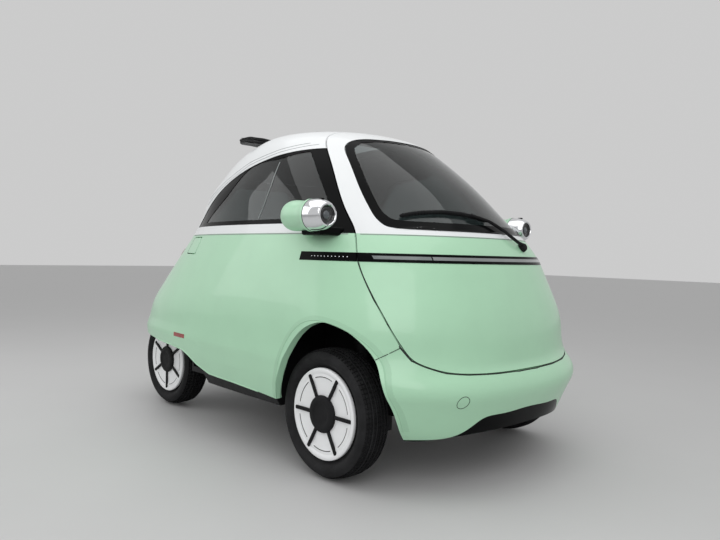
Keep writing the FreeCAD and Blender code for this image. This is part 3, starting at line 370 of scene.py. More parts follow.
class Palette:
    """Every finish of the car, built once."""

    def __init__(self) -> None:
        """Build the materials."""
        peel = {"bumps": Bumps.ORANGE_PEEL, "relief": 0.00006, "relief_scale": 260.0}
        brushed = {"bumps": Bumps.BRUSHED, "relief": 0.0002, "relief_scale": 300.0}
        self.green = SolidFinish("mint_green_paint", (0.425, 0.715, 0.490), 0.38, coat=0.45,
                                 variation=0.015, **peel).build()
        # A darker copy of the green paint: painted shade for the wheel arches' flanges and lips
        self.flange_painted_shade = SolidFinish("mint_green_painted_shade", (0.375, 0.640, 0.435), 0.42, coat=0.3,
                                       variation=0.015, **peel).build()
        self.white = SolidFinish("white_paint", (0.80, 0.82, 0.83), 0.38, coat=0.4, variation=0.01,
                                 **peel).build()
        self.gloss_black = SolidFinish("black_gloss_trim", (0.003, 0.0032, 0.0035), 0.16, variation=0.2,
                                       specular=0.05).build()
        self.matte_black = SolidFinish("black_grained_plastic", (0.012, 0.012, 0.013), 0.55,
                                       bumps=Bumps.GRAIN, relief=0.0004, relief_scale=700.0,
                                       variation=0.2, specular=0.12).build()
        self.rubber = SolidFinish("tyre_rubber", (0.013, 0.013, 0.014), 0.75, bumps=Bumps.CAST,
                                  relief=0.0005, relief_scale=350.0, variation=0.3, patch_scale=14.0,
                                  specular=0.25).build()
        self.disc_white = SolidFinish("wheel_white", (0.90, 0.91, 0.92), 0.35, coat=0.5,
                                      bumps=Bumps.ORANGE_PEEL, relief=0.00005, relief_scale=300.0,
                                      variation=0.02).build()
        self.chrome = SolidFinish("bright_chrome", (0.82, 0.83, 0.85), 0.08, metallic=1.0,
                                  variation=0.03, patch_scale=20.0).build()
        self.mirror = SolidFinish("mirror_face", (0.9, 0.9, 0.92), 0.02, metallic=1.0,
                                  variation=0.01).build()
        self.steel = SolidFinish("brushed_steel", (0.42, 0.43, 0.45), 0.38, metallic=1.0,
                                 bumps=Bumps.BRUSHED, relief=0.0002, relief_scale=900.0,
                                 variation=0.1).build()
        self.chassis = SolidFinish("chassis_black_steel", (0.016, 0.016, 0.017), 0.6, specular=0.25,
                                   bumps=Bumps.CAST, relief=0.0006, relief_scale=120.0,
                                   variation=0.3).build()
        self.cast_metal = SolidFinish("cast_aluminium", (0.4, 0.41, 0.43), 0.5, metallic=0.9,
                                      bumps=Bumps.CAST, relief=0.0008, relief_scale=240.0,
                                      variation=0.15).build()
        self.red = SolidFinish("red_lens", (0.30, 0.02, 0.015), 0.15, coat=0.8, bumps=Bumps.GRAIN,
                               relief=0.0006, relief_scale=260.0, variation=0.15).build()
        self.light_bar = SolidFinish("silver_light_bar", (0.26, 0.28, 0.28), 0.22, metallic=0.4,
                                     coat=0.8, variation=0.08, **brushed).build()
        self.dim_bar = SolidFinish("grey_light_bar", (0.15, 0.17, 0.17), 0.25, coat=0.8, variation=0.12,
                                   **brushed).build()
        # Grey painted shade: the shade line under the white belt moulding
        self.belt_painted_shade = SolidFinish("grey_painted_belt_shade", (0.30, 0.33, 0.32), 0.4, variation=0.05).build()
        self.eye = SolidFinish("lamp_eye", (0.07, 0.08, 0.09), 0.05, coat=1.0, variation=0.1).build()
        self.smoked = SolidFinish("smoked_lamp", (0.008, 0.008, 0.009), 0.08, coat=0.5,
                                  variation=0.2).build()
        self.cant_line = SolidFinish("cant_rail_line", (0.33, 0.36, 0.36), 0.5, variation=0.05).build()
        self.seam = SolidFinish("seam_dark", (0.010, 0.014, 0.012), 0.7, variation=0.2).build()
        self.glass = GlassFinish("window_glass", (0.17, 0.20, 0.20)).build()
        self.roof_cloth = WovenFinish("black_roof_cloth", (0.005, 0.005, 0.006), 0.0010).build()
        self.seat_cloth = WovenFinish("dark_seat_cloth", (0.06, 0.062, 0.068), 0.0016).build()
        self.lining = WovenFinish("dark_cabin_lining", (0.020, 0.021, 0.023), 0.0014, sheen=0.05).build()
        self.lamp_dot = GlowFinish("lamp_dot", (0.85, 0.87, 0.9)).build()


# Mesh tools


@dataclass
class Piece:
    """How a finished mesh becomes a piece: what it rides on, its slot and its finish."""

    body: str
    slot: str
    material: bpy.types.Material
    crease: float = 35.0
    keep_faces: bool = False

    def make(self, name: str, mesh: bmesh.types.BMesh) -> bpy.types.Object:
        """Close a bmesh, make it an object and put it on its body.

        Args:
            name: The piece's name.
            mesh: The bmesh, in place, in the row frame.

        Returns:
            The new object.
        """
        bmesh.ops.remove_doubles(mesh, verts=mesh.verts, dist=MERGE)
        if not self.keep_faces:
            bmesh.ops.recalc_face_normals(mesh, faces=mesh.faces)
        for face in mesh.faces:
            face.smooth = True
        data = bpy.data.meshes.new(name)
        mesh.to_mesh(data)
        mesh.free()
        thing = bpy.data.objects.new(name, data)
        bpy.context.scene.collection.objects.link(thing)
        data.materials.append(self.material)
        if self.crease:
            data.set_sharp_from_angle(angle=math.radians(self.crease))
        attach(thing, self.body)
        LOG.info("%s: %d faces", name, len(data.polygons))
        return thing


class Shapes:
    """Bmesh shapes made with Blender's own operators."""

    TUBE_ROUNDING = 3

    @staticmethod
    def turned(profile: Sequence[Flat], centre: Vector, axis: Vector, steps: int,
               closed: bool = False) -> bmesh.types.BMesh:
        """A shape turned about an axis.

        Args:
            profile: Points as (place along the axis, radius).
            centre: The point that places are measured from.
            axis: The axis, pointing to growing places.
            steps: The number of steps round.
            closed: Whether the profile's ends join, as for a ring.

        Returns:
            The bmesh.
        """
        mesh = bmesh.new()
        way = axis.normalized()
        out = way.orthogonal().normalized()
        verts = [mesh.verts.new(centre + way * a + out * r) for a, r in profile]
        pairs = list(zip(verts, verts[1:])) + ([(verts[-1], verts[0])] if closed else [])
        edges = [mesh.edges.new(pair) for pair in pairs]
        bmesh.ops.spin(mesh, geom=verts + edges, cent=centre, axis=way, angle=2 * math.pi, steps=steps,
                       use_merge=True, use_duplicate=False)
        bmesh.ops.remove_doubles(mesh, verts=mesh.verts, dist=MERGE)
        return mesh

    @staticmethod
    def tube(points: Sequence[Vector], radius: float, closed: bool = False) -> bmesh.types.BMesh:
        """A round strip along points.

        Args:
            points: The line's points.
            radius: The strip's radius.
            closed: Whether the line is a loop.

        Returns:
            The bmesh.
        """
        curve = bpy.data.curves.new("line", "CURVE")
        curve.dimensions = "3D"
        curve.bevel_depth = radius
        curve.bevel_resolution = Shapes.TUBE_ROUNDING
        curve.use_fill_caps = True
        spline = curve.splines.new("POLY")
        spline.points.add(len(points) - 1)
        for spot, place in zip(spline.points, points):
            spot.co = (*place, 1.0)
        spline.use_cyclic_u = closed
        holder = bpy.data.objects.new("line", curve)
        data = bpy.data.meshes.new_from_object(holder)
        mesh = bmesh.new()
        mesh.from_mesh(data)
        bpy.data.objects.remove(holder)
        bpy.data.curves.remove(curve)
        bpy.data.meshes.remove(data)
        return mesh

    @staticmethod
    def block(size: Sequence[float], matrix: Matrix, bevel: float, segments: int = 3) -> bmesh.types.BMesh:
        """A box with rounded edges.

        Args:
            size: The box's length along its own X, Y and Z.
            matrix: Where the box goes.
            bevel: The radius of its edges.
            segments: The steps of each rounded edge.

        Returns:
            The bmesh.
        """
        mesh = bmesh.new()
        bmesh.ops.create_cube(mesh, size=1.0)
        bmesh.ops.scale(mesh, vec=size, verts=mesh.verts)
        bmesh.ops.bevel(mesh, geom=mesh.edges[:], offset=bevel, affect="EDGES", segments=segments,
                        profile=0.5, material=-1)
        bmesh.ops.transform(mesh, matrix=matrix, verts=mesh.verts)
        return mesh

    @staticmethod
    def along(line: Sequence[Sequence[float]], share: float) -> Vector | tuple[float, ...]:
        """A place along a line of points, by its share of the line's length.

        Args:
            line: The points, flat or in space.
            share: From 0 at the first point to 1 at the last.

        Returns:
            The place, as a Vector for points in space, else as a pair.
        """
        steps = [math.dist(a, b) for a, b in zip(line, line[1:])]
        left = share * sum(steps)
        for a, b, step in zip(line, line[1:], steps):
            if left <= step and step > 0:
                break
            left -= step
        t = min(max(left / step, 0.0), 1.0) if step > 0 else 1.0
        spot = [p + (q - p) * t for p, q in zip(a, b)]
        return Vector(spot) if len(spot) == 3 else tuple(spot)

    @staticmethod
    def bent(place: Callable[[float, float], Vector | None], across: int, along: int,
             thickness: float = 0.0) -> bmesh.types.BMesh:
        """A grid bent onto places, with a thickness where one is given.

        Args:
            place: Gives the place for two shares from 0 to 1, or nothing where there is none.
            across: The steps of the first share.
            along: The steps of the second share.
            thickness: The sheet's thickness, or 0 for a bare sheet.

        Returns:
            The bmesh.
        """
        mesh = bmesh.new()
        bmesh.ops.create_grid(mesh, x_segments=across, y_segments=along, size=0.5)
        lost = []
        for vert in mesh.verts:
            spot = place(vert.co.x + 0.5, vert.co.y + 0.5)
            if spot is None:
                lost.append(vert)
            else:
                vert.co = spot
        bmesh.ops.delete(mesh, geom=lost, context="VERTS")
        bmesh.ops.recalc_face_normals(mesh, faces=mesh.faces)
        if thickness:
            bmesh.ops.solidify(mesh, geom=mesh.faces[:], thickness=thickness)
        return mesh

    @staticmethod
    def joined(parts: Iterable[bmesh.types.BMesh]) -> bmesh.types.BMesh:
        """Several bmeshes as one.

        Args:
            parts: The bmeshes, which are freed.

        Returns:
            The bmesh that holds them all.
        """
        whole = bmesh.new()
        for part in parts:
            data = bpy.data.meshes.new("part")
            part.to_mesh(data)
            part.free()
            whole.from_mesh(data)
            bpy.data.meshes.remove(data)
        return whole

    @staticmethod
    def merged_copy(nodes: Sequence[str]) -> bmesh.types.BMesh:
        """A copy of CAD nodes' meshes as one, its double points merged.

        Args:
            nodes: The nodes' names.

        Returns:
            The bmesh.
        """
        mesh = bmesh.new()
        for name in nodes:
            mesh.from_mesh(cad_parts[name].data)
        bmesh.ops.remove_doubles(mesh, verts=mesh.verts, dist=SKIN_MERGE)
        return mesh


class SkinProbe:
    """Finds places on the car's skin by rays on copies of CAD nodes."""

    SIDE_START = 1.2
    NOSE_START = 2.0
    STEP = 0.012

    def __init__(self, nodes: Sequence[str]) -> None:
        """Gather the nodes' meshes.

        Args:
            nodes: The CAD nodes to probe.
        """
        mesh = Shapes.merged_copy(nodes)
        self.tree = BVHTree.FromBMesh(mesh)
        mesh.free()

    def _hit(self, start: Vector, way: Vector, lift: float) -> Vector | None:
        """The first place that a ray meets.

        Args:
            start: The ray's start.
            way: Its direction, of length 1.
            lift: How far out of the skin the answer lies.

        Returns:
            The place, or nothing where the ray misses.
        """
        place, normal, _, _ = self.tree.ray_cast(start, way)
        if place is None:
            return None
        if normal.dot(way) > 0:
            normal = -normal
        return place + normal * lift

    def hit_side(self, side: Side, x: float, z: float, lift: float) -> Vector | None:
        """The lifted place on one side of the car at a point of its side view."""
        return self._hit(Vector((x, self.SIDE_START * side.value, z)), Vector((0, -side.value, 0)), lift)

    def hit_nose(self, y: float, z: float, lift: float) -> Vector | None:
        """The lifted place on the nose at a point of its front view."""
        return self._hit(Vector((self.NOSE_START, y, z)), Vector((-1, 0, 0)), lift)

    def side(self, side: Side, line: Sequence[Flat], lift: float, step: float = STEP) -> list[Vector]:
        """A line on one side of the car, from its (x, z) points in side view.

        Args:
            side: Which side.
            line: The line's corner points.
            lift: How far out of the skin it lies.
            step: The distance between its points.

        Returns:
            The points found.
        """
        return self._trace(line, step, lambda x, z: self.hit_side(side, x, z, lift))

    def nose(self, line: Sequence[Flat], lift: float, step: float = STEP) -> list[Vector]:
        """A line on the nose, from its (y, z) points.

        Args:
            line: The line's corner points.
            lift: How far out of the skin it lies.
            step: The distance between its points.

        Returns:
            The points found.
        """
        return self._trace(line, step, lambda y, z: self.hit_nose(y, z, lift))

    @staticmethod
    def _trace(line: Sequence[Flat], step: float,
               find: Callable[[float, float], Vector | None]) -> list[Vector]:
        """Follow a line of corner points with rays.

        Args:
            line: The corner points in the view's plane.
            step: The distance between rays.
            find: Gives the place on the skin for a point of the plane.

        Returns:
            The points found.
        """
        points = []
        for (a0, b0), (a1, b1) in zip(line, line[1:]):
            count = max(int(math.hypot(a1 - a0, b1 - b0) / step), 1)
            for k in range(count):
                t = k / count
                points.append((a0 + (a1 - a0) * t, b0 + (b1 - b0) * t))
        points.append(line[-1])
        found = [find(a, b) for a, b in points]
        return [spot for spot in found if spot is not None]


# Sub-assemblies


@dataclass
class Wheel:
    """One wheel: a tyre with tread blocks, a white disc, a black cap and six black spokes.

    A section is pairs of a place along the axle and a radius. In drops the second number is what the
    radius lacks of the tyre's or the disc's, in rises what it adds to the bead's, and in shares its
    share of the cap's. Places of the disc and the cap start at the wheel's face, except the barrel's.
    Turns are in degrees.
    """

    corner: str
    body: str
    centre: Point
    side: Side
    paint: Palette
    spoke_turn: float = 0.0
    radius: float = 0.2665
    bead: float = 0.163
    face: float = 0.061
    tread_steps: int = 84
    tyre_drops: tuple[Flat, ...] = (
        (0.0, 0.007), (0.011, 0.007), (0.014, 0.0075), (0.030, 0.008), (0.034, 0.009), (0.050, 0.012),
        (0.060, 0.019), (0.0680, 0.028), (0.0715, 0.037), (0.0725, 0.0435), (0.0690, 0.054),
        (0.0655, 0.0585), (0.0645, 0.0600), (0.0560, 0.0690), (0.0500, 0.0740), (0.0480, 0.0765))
    bead_rises: tuple[Flat, ...] = ((0.0440, 0.010), (0.0430, 0.0))
    grooves: tuple[Flat, ...] = ((0.0105, 0.0145), (0.0295, 0.0345))
    tread_drop: float = 0.0145
    shoulder: Flat = (0.050, 0.061)
    shoulder_drop: float = 0.020
    block_inset: float = 0.0016
    block_height: float = 0.0062
    tyre_crease: float = 28.0
    disc_radius: float = 0.184
    disc_steps: int = 96
    disc_middle: tuple[Flat, ...] = ((-0.006, 0.0), (-0.006, 0.060), (-0.001, 0.078))
    disc_drops: tuple[Flat, ...] = (
        (-0.003, 0.052), (-0.001, 0.042), (0.001, 0.032), (-0.0005, 0.024), (0.0035, 0.016),
        (0.0045, 0.008), (0.002, 0.002), (-0.002, 0.0), (-0.010, 0.001))
    disc_rises: tuple[Flat, ...] = ((-0.012, 0.004), (-0.006, -0.001))
    barrel_half: float = 0.058
    barrel_gap: float = 0.001
    barrel_depth: float = 0.013
    plate: float = 0.014
    cap_radius: float = 0.075
    cap_steps: int = 72
    cap_shares: tuple[Flat, ...] = (
        (-0.007, 0.0), (-0.007, 0.96), (0.003, 1.0), (0.009, 0.97), (0.013, 0.88), (0.0150, 0.66),
        (0.0130, 0.60), (0.0120, 0.45), (0.0125, 0.22), (0.013, 0.0))
    spokes: int = 6
    spoke_reach: float = 0.169
    spoke_start_share: float = 0.75
    spoke_width: float = 0.0155
    spoke_depth: float = 0.010
    spoke_rise: float = 0.002
    spoke_round: float = 0.0045
    arc_half: int = 20
    arc_step: int = 4
    arc_drop: float = 0.037
    arc_sink: float = 0.0008
    arc_wire: float = 0.0019

    def build(self) -> None:
        """Build the tyre and the wheel's pieces, and hide the plain CAD ones."""
        self.middle = Vector(self.centre)
        self.out = Vector((0, self.side.value, 0))
        self.spoke_pitch = 360 // self.spokes
        tyre = self._tyre()
        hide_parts(f"tyre_{self.corner}")
        disc = self._disc()
        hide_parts(f"wheel_{self.corner}")
        self._cap()
        self._spokes()
        self._arcs()

    def _tyre(self) -> bpy.types.Object:
        """The tyre: a turned section with its tread faces raised as blocks.

        Returns:
            The piece.
        """
        half = [(place, self.radius - drop) for place, drop in self.tyre_drops]
        half += [(place, self.bead + rise) for place, rise in self.bead_rises]
        section = [(-place, height) for place, height in reversed(half)] + half[1:]
        mesh = Shapes.turned(section, self.middle, self.out, self.tread_steps, closed=True)
        blocks = [face for face in mesh.faces if self._is_block(face)]
        bmesh.ops.inset_individual(mesh, faces=blocks, thickness=self.block_inset, depth=self.block_height)
        return Piece(self.body, "tyre_rubber", self.paint.rubber, crease=self.tyre_crease).make(
            f"treaded_tyre_{self.corner}", mesh)

    def _is_block(self, face: bmesh.types.BMFace) -> bool:
        """Whether a face of the tyre is a tread block's or a shoulder block's.

        Args:
            face: The face.

        Returns:
            True for a block's face.
        """
        spot = face.calc_center_median() - self.middle
        across = abs(spot.dot(self.out))
        height = math.hypot(spot.x, spot.z)
        in_groove = any(low < across < high for low, high in self.grooves)
        on_tread = height > self.radius - self.tread_drop and not in_groove
        low, high = self.shoulder
        return on_tread or (low < across < high and height > self.radius - self.shoulder_drop)

    def _disc(self) -> bpy.types.Object:
        """The white disc with its rolled rim, and the barrel behind it.

        Returns:
            The piece.
        """
        face, bead = self.face, self.bead
        section = [(face + place, height) for place, height in self.disc_middle]
        section += [(face + place, self.disc_radius - drop) for place, drop in self.disc_drops]
        section += [(face + place, bead + rise) for place, rise in self.disc_rises]
        outer, inner = bead - self.barrel_gap, bead - self.barrel_depth
        section += [(-self.barrel_half, outer), (-self.barrel_half, inner), (face - self.plate, inner),
                    (face - self.plate, 0.0)]
        mesh = Shapes.turned(section, self.middle, self.out, self.disc_steps)
        return Piece(self.body, "wheel_disc", self.paint.disc_white).make(f"wheel_disc_{self.corner}", mesh)

    def _cap(self) -> None:
        """The black domed cap with a stepped edge."""
        section = [(self.face + place, self.cap_radius * share) for place, share in self.cap_shares]
        mesh = Shapes.turned(section, self.middle, self.out, self.cap_steps)
        Piece(self.body, "black_gloss", self.paint.matte_black).make(f"hub_cap_{self.corner}", mesh)

    def _spokes(self) -> None:
        """Round-ended bars that run out from under the cap."""
        bars = []
        start = self.cap_radius * self.spoke_start_share
        length = self.spoke_reach - start
        root = Matrix.Translation(self.middle + self.out * (self.face + self.spoke_rise))
        reach = Matrix.Translation((0, 0, start + length / 2))
        for k in range(self.spokes):
            turn = Matrix.Rotation(math.radians(self.spoke_turn + self.spoke_pitch * k), 4, "Y")
            bars.append(Shapes.block((self.spoke_width, self.spoke_depth, length), root @ turn @ reach,
                                     self.spoke_round, 4))
        Piece(self.body, "black_gloss", self.paint.matte_black).make(
            f"spokes_{self.corner}", Shapes.joined(bars))

    def _arcs(self) -> None:
        """Thin dark arcs between the spokes, near the disc's rim."""
        arcs = []
        ring = self.disc_radius - self.arc_drop
        for k in range(self.spokes):
            middle = math.radians(self.spoke_turn + self.spoke_pitch / 2 + self.spoke_pitch * k)
            span = range(-self.arc_half, self.arc_half + 1, self.arc_step)
            turns = [middle + math.radians(a) for a in span]
            points = [self.middle + self.out * (self.face - self.arc_sink)
                      + Vector((math.sin(a), 0, math.cos(a))) * ring for a in turns]
            arcs.append(Shapes.tube(points, self.arc_wire))
        Piece(self.body, "black_gloss", self.paint.gloss_black).make(
            f"disc_grooves_{self.corner}", Shapes.joined(arcs))


@dataclass
class Pad:
    """A cushion made by pressure on a remeshed block.

    The block's lower and higher corners are places from the pivot, before it leans back about it.
    """

    name: str
    node: str
    paint: Palette
    low: Point
    high: Point
    lean: float
    pivot: Point
    edge: float = 0.035
    cap: float = 0.012
    voxel: float = 0.006
    pressure: float = 4.0
    tension: float = 15.0
    frames: int = 20

    def build(self) -> None:
        """Build the cushion in place of the plain CAD one."""
        place = Matrix.Translation(self.pivot) @ Matrix.Rotation(-math.radians(self.lean), 4, "Y")
        size = [b - a for a, b in zip(self.low, self.high)]
        middle = Matrix.Translation([(a + b) / 2 for a, b in zip(self.low, self.high)])
        mesh = Shapes.block([s - 2 * self.cap for s in size], place @ middle, self.edge, 4)
        pad = Piece(BODY, "seat_fabric", self.paint.seat_cloth, crease=0.0).make(self.name, mesh)
        self._swell(pad)
        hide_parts(self.node)

    def _swell(self, pad: bpy.types.Object) -> None:
        """Remesh the block and blow it up a little, each point's way capped.

        Args:
            pad: The cushion's object.
        """
        remesh = pad.modifiers.new("voxels", "REMESH")
        remesh.mode = "VOXEL"
        remesh.voxel_size = self.voxel
        remesh.use_smooth_shade = True
        self._apply(pad)
        rest = [v.co.copy() for v in pad.data.vertices]
        cloth = pad.modifiers.new("pressure", "CLOTH")
        cloth.settings.use_pressure = True
        cloth.settings.uniform_pressure_force = self.pressure
        cloth.settings.effector_weights.gravity = 0.0
        cloth.settings.tension_stiffness = self.tension
        cloth.point_cache.frame_start = 1
        cloth.point_cache.frame_end = self.frames
        for k in range(1, self.frames + 1):
            bpy.context.scene.frame_set(k)
        self._apply(pad)
        bpy.context.scene.frame_set(1)
        for vertex, place in zip(pad.data.vertices, rest):
            way = vertex.co - place
            if way.length > self.cap:
                vertex.co = place + way * (self.cap / way.length)
        soften = pad.modifiers.new("soften", "SUBSURF")
        soften.levels = soften.render_levels = 1

    @staticmethod
    def _apply(thing: bpy.types.Object) -> None:
        """Make an object's modified mesh its own mesh.

        Args:
            thing: The object.
        """
        graph = bpy.context.evaluated_depsgraph_get()
        data = bpy.data.meshes.new_from_object(thing.evaluated_get(graph))
        data.materials.clear()
        for material in thing.data.materials:
            data.materials.append(material)
        thing.modifiers.clear()
        thing.data = data
        for face in data.polygons:
            face.use_smooth = True


@dataclass
class DoorGap:
    """The dark seal deep in the front door's gap, and the cap over the hinge arm's slot.

    The skin's way out at a point runs from the middle, each part of it times the bulge's factor.
    """

    paint: Palette
    gap: tuple[Point, ...] = (
        (0.769, 0.572, 0.979), (0.827, 0.609, 0.876), (0.926, 0.613, 0.734), (0.989, 0.599, 0.644),
        (1.034, 0.573, 0.562), (1.068, 0.542, 0.511), (1.100, 0.504, 0.489), (1.149, 0.435, 0.465),
        (1.186, 0.343, 0.455), (1.215, 0.208, 0.450), (1.227, 0.065, 0.447), (1.227, 0.0, 0.447))
    middle: Point = (0.45, 0.0, 0.6)
    bulge: Point = (1.0, 0.75, 0.4)
    depth: float = 0.0050
    seal: float = 0.0042
    hinge_place: Point = (0.8020, 0.6722, 0.7495)
    hinge_out: Point = (0.44, 1.00, 0.35)
    cap_radius: float = 0.0215
    cap_shares: tuple[Flat, ...] = ((-0.0012, 1.0), (0.0006, 1.0), (0.0018, 0.92), (0.0030, 0.6),
                                    (0.0036, 0.0))
    cap_steps: int = 40

    def build(self) -> None:
        """Build the seal and the cap."""
        halves = [Shapes.tube([self._deep(spot, side) for spot in self.gap], self.seal) for side in Side]
        Piece(BODY, "black_matte", self.paint.seam).make("door_gap_seal", Shapes.joined(halves))
        cap = [(place, self.cap_radius * share) for place, share in self.cap_shares]
        Piece(BODY, "green_paint", self.paint.green).make(
            "door_hinge_cap",
            Shapes.turned(cap, Vector(self.hinge_place), Vector(self.hinge_out), self.cap_steps))

    def _deep(self, spot: Point, side: Side) -> Vector:
        """The place under a point of the gap on the skin.

        Args:
            spot: The point, on the left side.
            side: The side that it is wanted on.

        Returns:
            The place, deeper by the seal's depth.
        """
        out = Vector([f * (a - b) for a, b, f in zip(spot, self.middle, self.bulge)]).normalized()
        deep = Vector(spot) - self.depth * out
        return Vector((deep.x, side.value * deep.y, deep.z))


@dataclass
class SkinLines:
    """Thin lines on the body: the belt's painted shade line, cant rail lines, seams and the sill's lip."""

    paint: Palette
    hair: float = 0.0013
    belt: float = 0.9868
    belt_ends: Flat = (-0.590, 0.742)
    door_belt_ends: Flat = (-0.555, 0.555)
    belt_line: float = 0.0022
    joint: tuple[Flat, ...] = ((0.918, 0.4820), (0.965, 0.5102), (1.005, 0.5381), (1.046, 0.5700))
    joint_lift: float = 0.0011
    joint_step: float = 0.003
    cants: tuple[tuple[Flat, ...], ...] = (
        ((-0.500, 1.153), (-0.277, 1.253), (-0.062, 1.334), (0.170, 1.381), (0.308, 1.403), (0.345, 1.408)),
        ((-0.500, 1.188), (-0.299, 1.270), (-0.073, 1.348), (0.160, 1.396), (0.299, 1.417)))
    sill: tuple[Flat, ...] = ((0.430, 0.2815), (0.324, 0.2972), (0.123, 0.3070), (-0.083, 0.3130),
                              (-0.200, 0.3445), (-0.277, 0.3790), (-0.346, 0.4000), (-0.529, 0.4090),
                              (-0.700, 0.4130))
    lip: float = 0.0045
    lip_sink: float = 0.0025
    tow_eye: Flat = (-0.395, 0.361)
    tow_eye_radius: float = 0.024
    tow_eye_sink: float = 0.0002

    def build(self) -> None:
        """Trace every line on the fixed body, and the belt line on the front door too."""
        fixed = SkinProbe(["side_panel_right", "side_panel_left", "front_bumper"])
        upper = SkinProbe(["cabin_frame"])
        belt = [(x, self.belt) for x in self.belt_ends]
        door_belt = [(y, self.belt) for y in self.door_belt_ends]
        belt_shades, seams, lips, cants = [], [], [], []
        for side in Side:
            belt_shades.append(Shapes.tube(fixed.side(side, belt, 0.0), self.belt_line))
            seam = fixed.side(side, self.joint, self.joint_lift, self.joint_step)
            seams.append(Shapes.tube(seam, self.hair))
            lips.append(Shapes.tube(fixed.side(side, self.sill, -self.lip_sink), self.lip))
            cants += [Shapes.tube(upper.side(side, rail, 0.0), self.hair) for rail in self.cants]
            if side is Side.RIGHT:
                seams.append(self._tow_eye_ring(fixed))
        front = Shapes.tube(SkinProbe(["door_panel"]).nose(door_belt, 0.0), self.belt_line)
        # The belt lines are painted shade: grey tubes under the white moulding
        Piece(BODY, "white_paint", self.paint.belt_painted_shade).make("belt_line", Shapes.joined(belt_shades))
        Piece(DOOR, "white_paint", self.paint.belt_painted_shade).make("door_belt_line", front)
        Piece(BODY, "black_gloss", self.paint.seam).make("panel_seams", Shapes.joined(seams))
        Piece(BODY, "green_paint", self.paint.green).make("rolled_lips", Shapes.joined(lips))
        Piece(BODY, "white_paint", self.paint.cant_line).make("cant_rail_lines", Shapes.joined(cants))

    def _tow_eye_ring(self, skin: SkinProbe) -> bmesh.types.BMesh:
        """The joint round the tow-eye's cover.

        Args:
            skin: The bumper's skin.

        Returns:
            The bmesh.
        """
        y, z = self.tow_eye
        r = self.tow_eye_radius
        circle = [(y + r * math.cos(a), z + r * math.sin(a)) for a in map(math.radians, range(0, 360, 15))]
        return Shapes.tube(skin.nose(circle, -self.tow_eye_sink, r), self.hair, closed=True)


@dataclass
class ArchFlange:
    """The pressed flange round a front wheel opening, with its rolled lip, both in a darker green that is
    painted shade.
    """

    side: Side
    paint: Palette
    axle_x: float = 0.7135
    axle_z: float = 0.2665
    first: int = -84
    last: int = 94
    step: int = 2
    nearest: float = 0.20
    farthest: float = 0.46
    search: float = 0.0015
    innermost: float = 0.3
    rounds: int = 6
    inset: float = 0.001
    band: float = 0.019
    band_steps: int = 4
    rise: float = 0.0010
    fall: float = 0.0012
    lip: float = 0.0042
    lip_sink: float = 0.0022

    def build(self) -> None:
        """Find the opening's edge, smooth it, and lay the flange and the lip along it."""
        self.probe = SkinProbe(["side_panel_right", "side_panel_left", "front_bumper"])
        turns = range(self.first, self.last + 1, self.step)
        line = list(zip(turns, self._smoothed([self._edge(turn) for turn in turns])))

        def place(u: float, v: float) -> Vector | None:
            """A place of the flange."""
            turn, reach = line[round(u * (len(line) - 1))]
            return self._spot(turn, reach + self.inset + self.band * v, self.rise - self.fall * v * v)

        name = self.side.name.lower()
        flange = Shapes.bent(place, len(line) - 1, self.band_steps)
        # The flange and the lip take the darker green, painted shade in the flange
        Piece(BODY, "green_paint", self.paint.flange_painted_shade).make(f"arch_flange_{name}", flange)
        edge = [self._spot(turn, reach + self.inset, -self.lip_sink) for turn, reach in line]
        Piece(BODY, "green_paint", self.paint.flange_painted_shade).make(
            f"arch_lip_{name}", Shapes.tube([spot for spot in edge if spot], self.lip))

    def _smoothed(self, reaches: list[float]) -> list[float]:
        """Take the dents and kinks out of the opening's edge, always outwards.

        Args:
            reaches: The edge's distances from the axle, turn by turn.

        Returns:
            The smoothed distances.
        """
        for _ in range(self.rounds):
            widest = [max(reaches[max(k - 1, 0):k + 2]) for k in range(len(reaches))]
            padded = [widest[0]] + widest + [widest[-1]]
            reaches = [(a + 2 * b + c) / 4 for a, b, c in zip(padded, padded[1:], padded[2:])]
        return reaches

    def _spot(self, turn: float, reach: float, lift: float) -> Vector | None:
        """A place on the skin beside the wheel.

        Args:
            turn: Degrees from straight up, forwards.
            reach: The distance from the axle.
            lift: How far out of the skin it lies.

        Returns:
            The place, or nothing in the opening.
        """
        angle = math.radians(turn)
        spot = self.probe.hit_side(self.side, self.axle_x + reach * math.sin(angle),
                                   self.axle_z + reach * math.cos(angle), lift)
        if spot is None or spot.y * self.side.value < self.innermost:
            return None
        return spot

    def _edge(self, turn: float) -> float:
        """The opening's reach from the axle.

        Args:
            turn: Degrees from straight up, forwards.

        Returns:
            The smallest reach with skin beside it.
        """
        reach = self.nearest
        while reach < self.farthest and self._spot(turn, reach, 0.0) is None:
            reach += self.search
        return reach


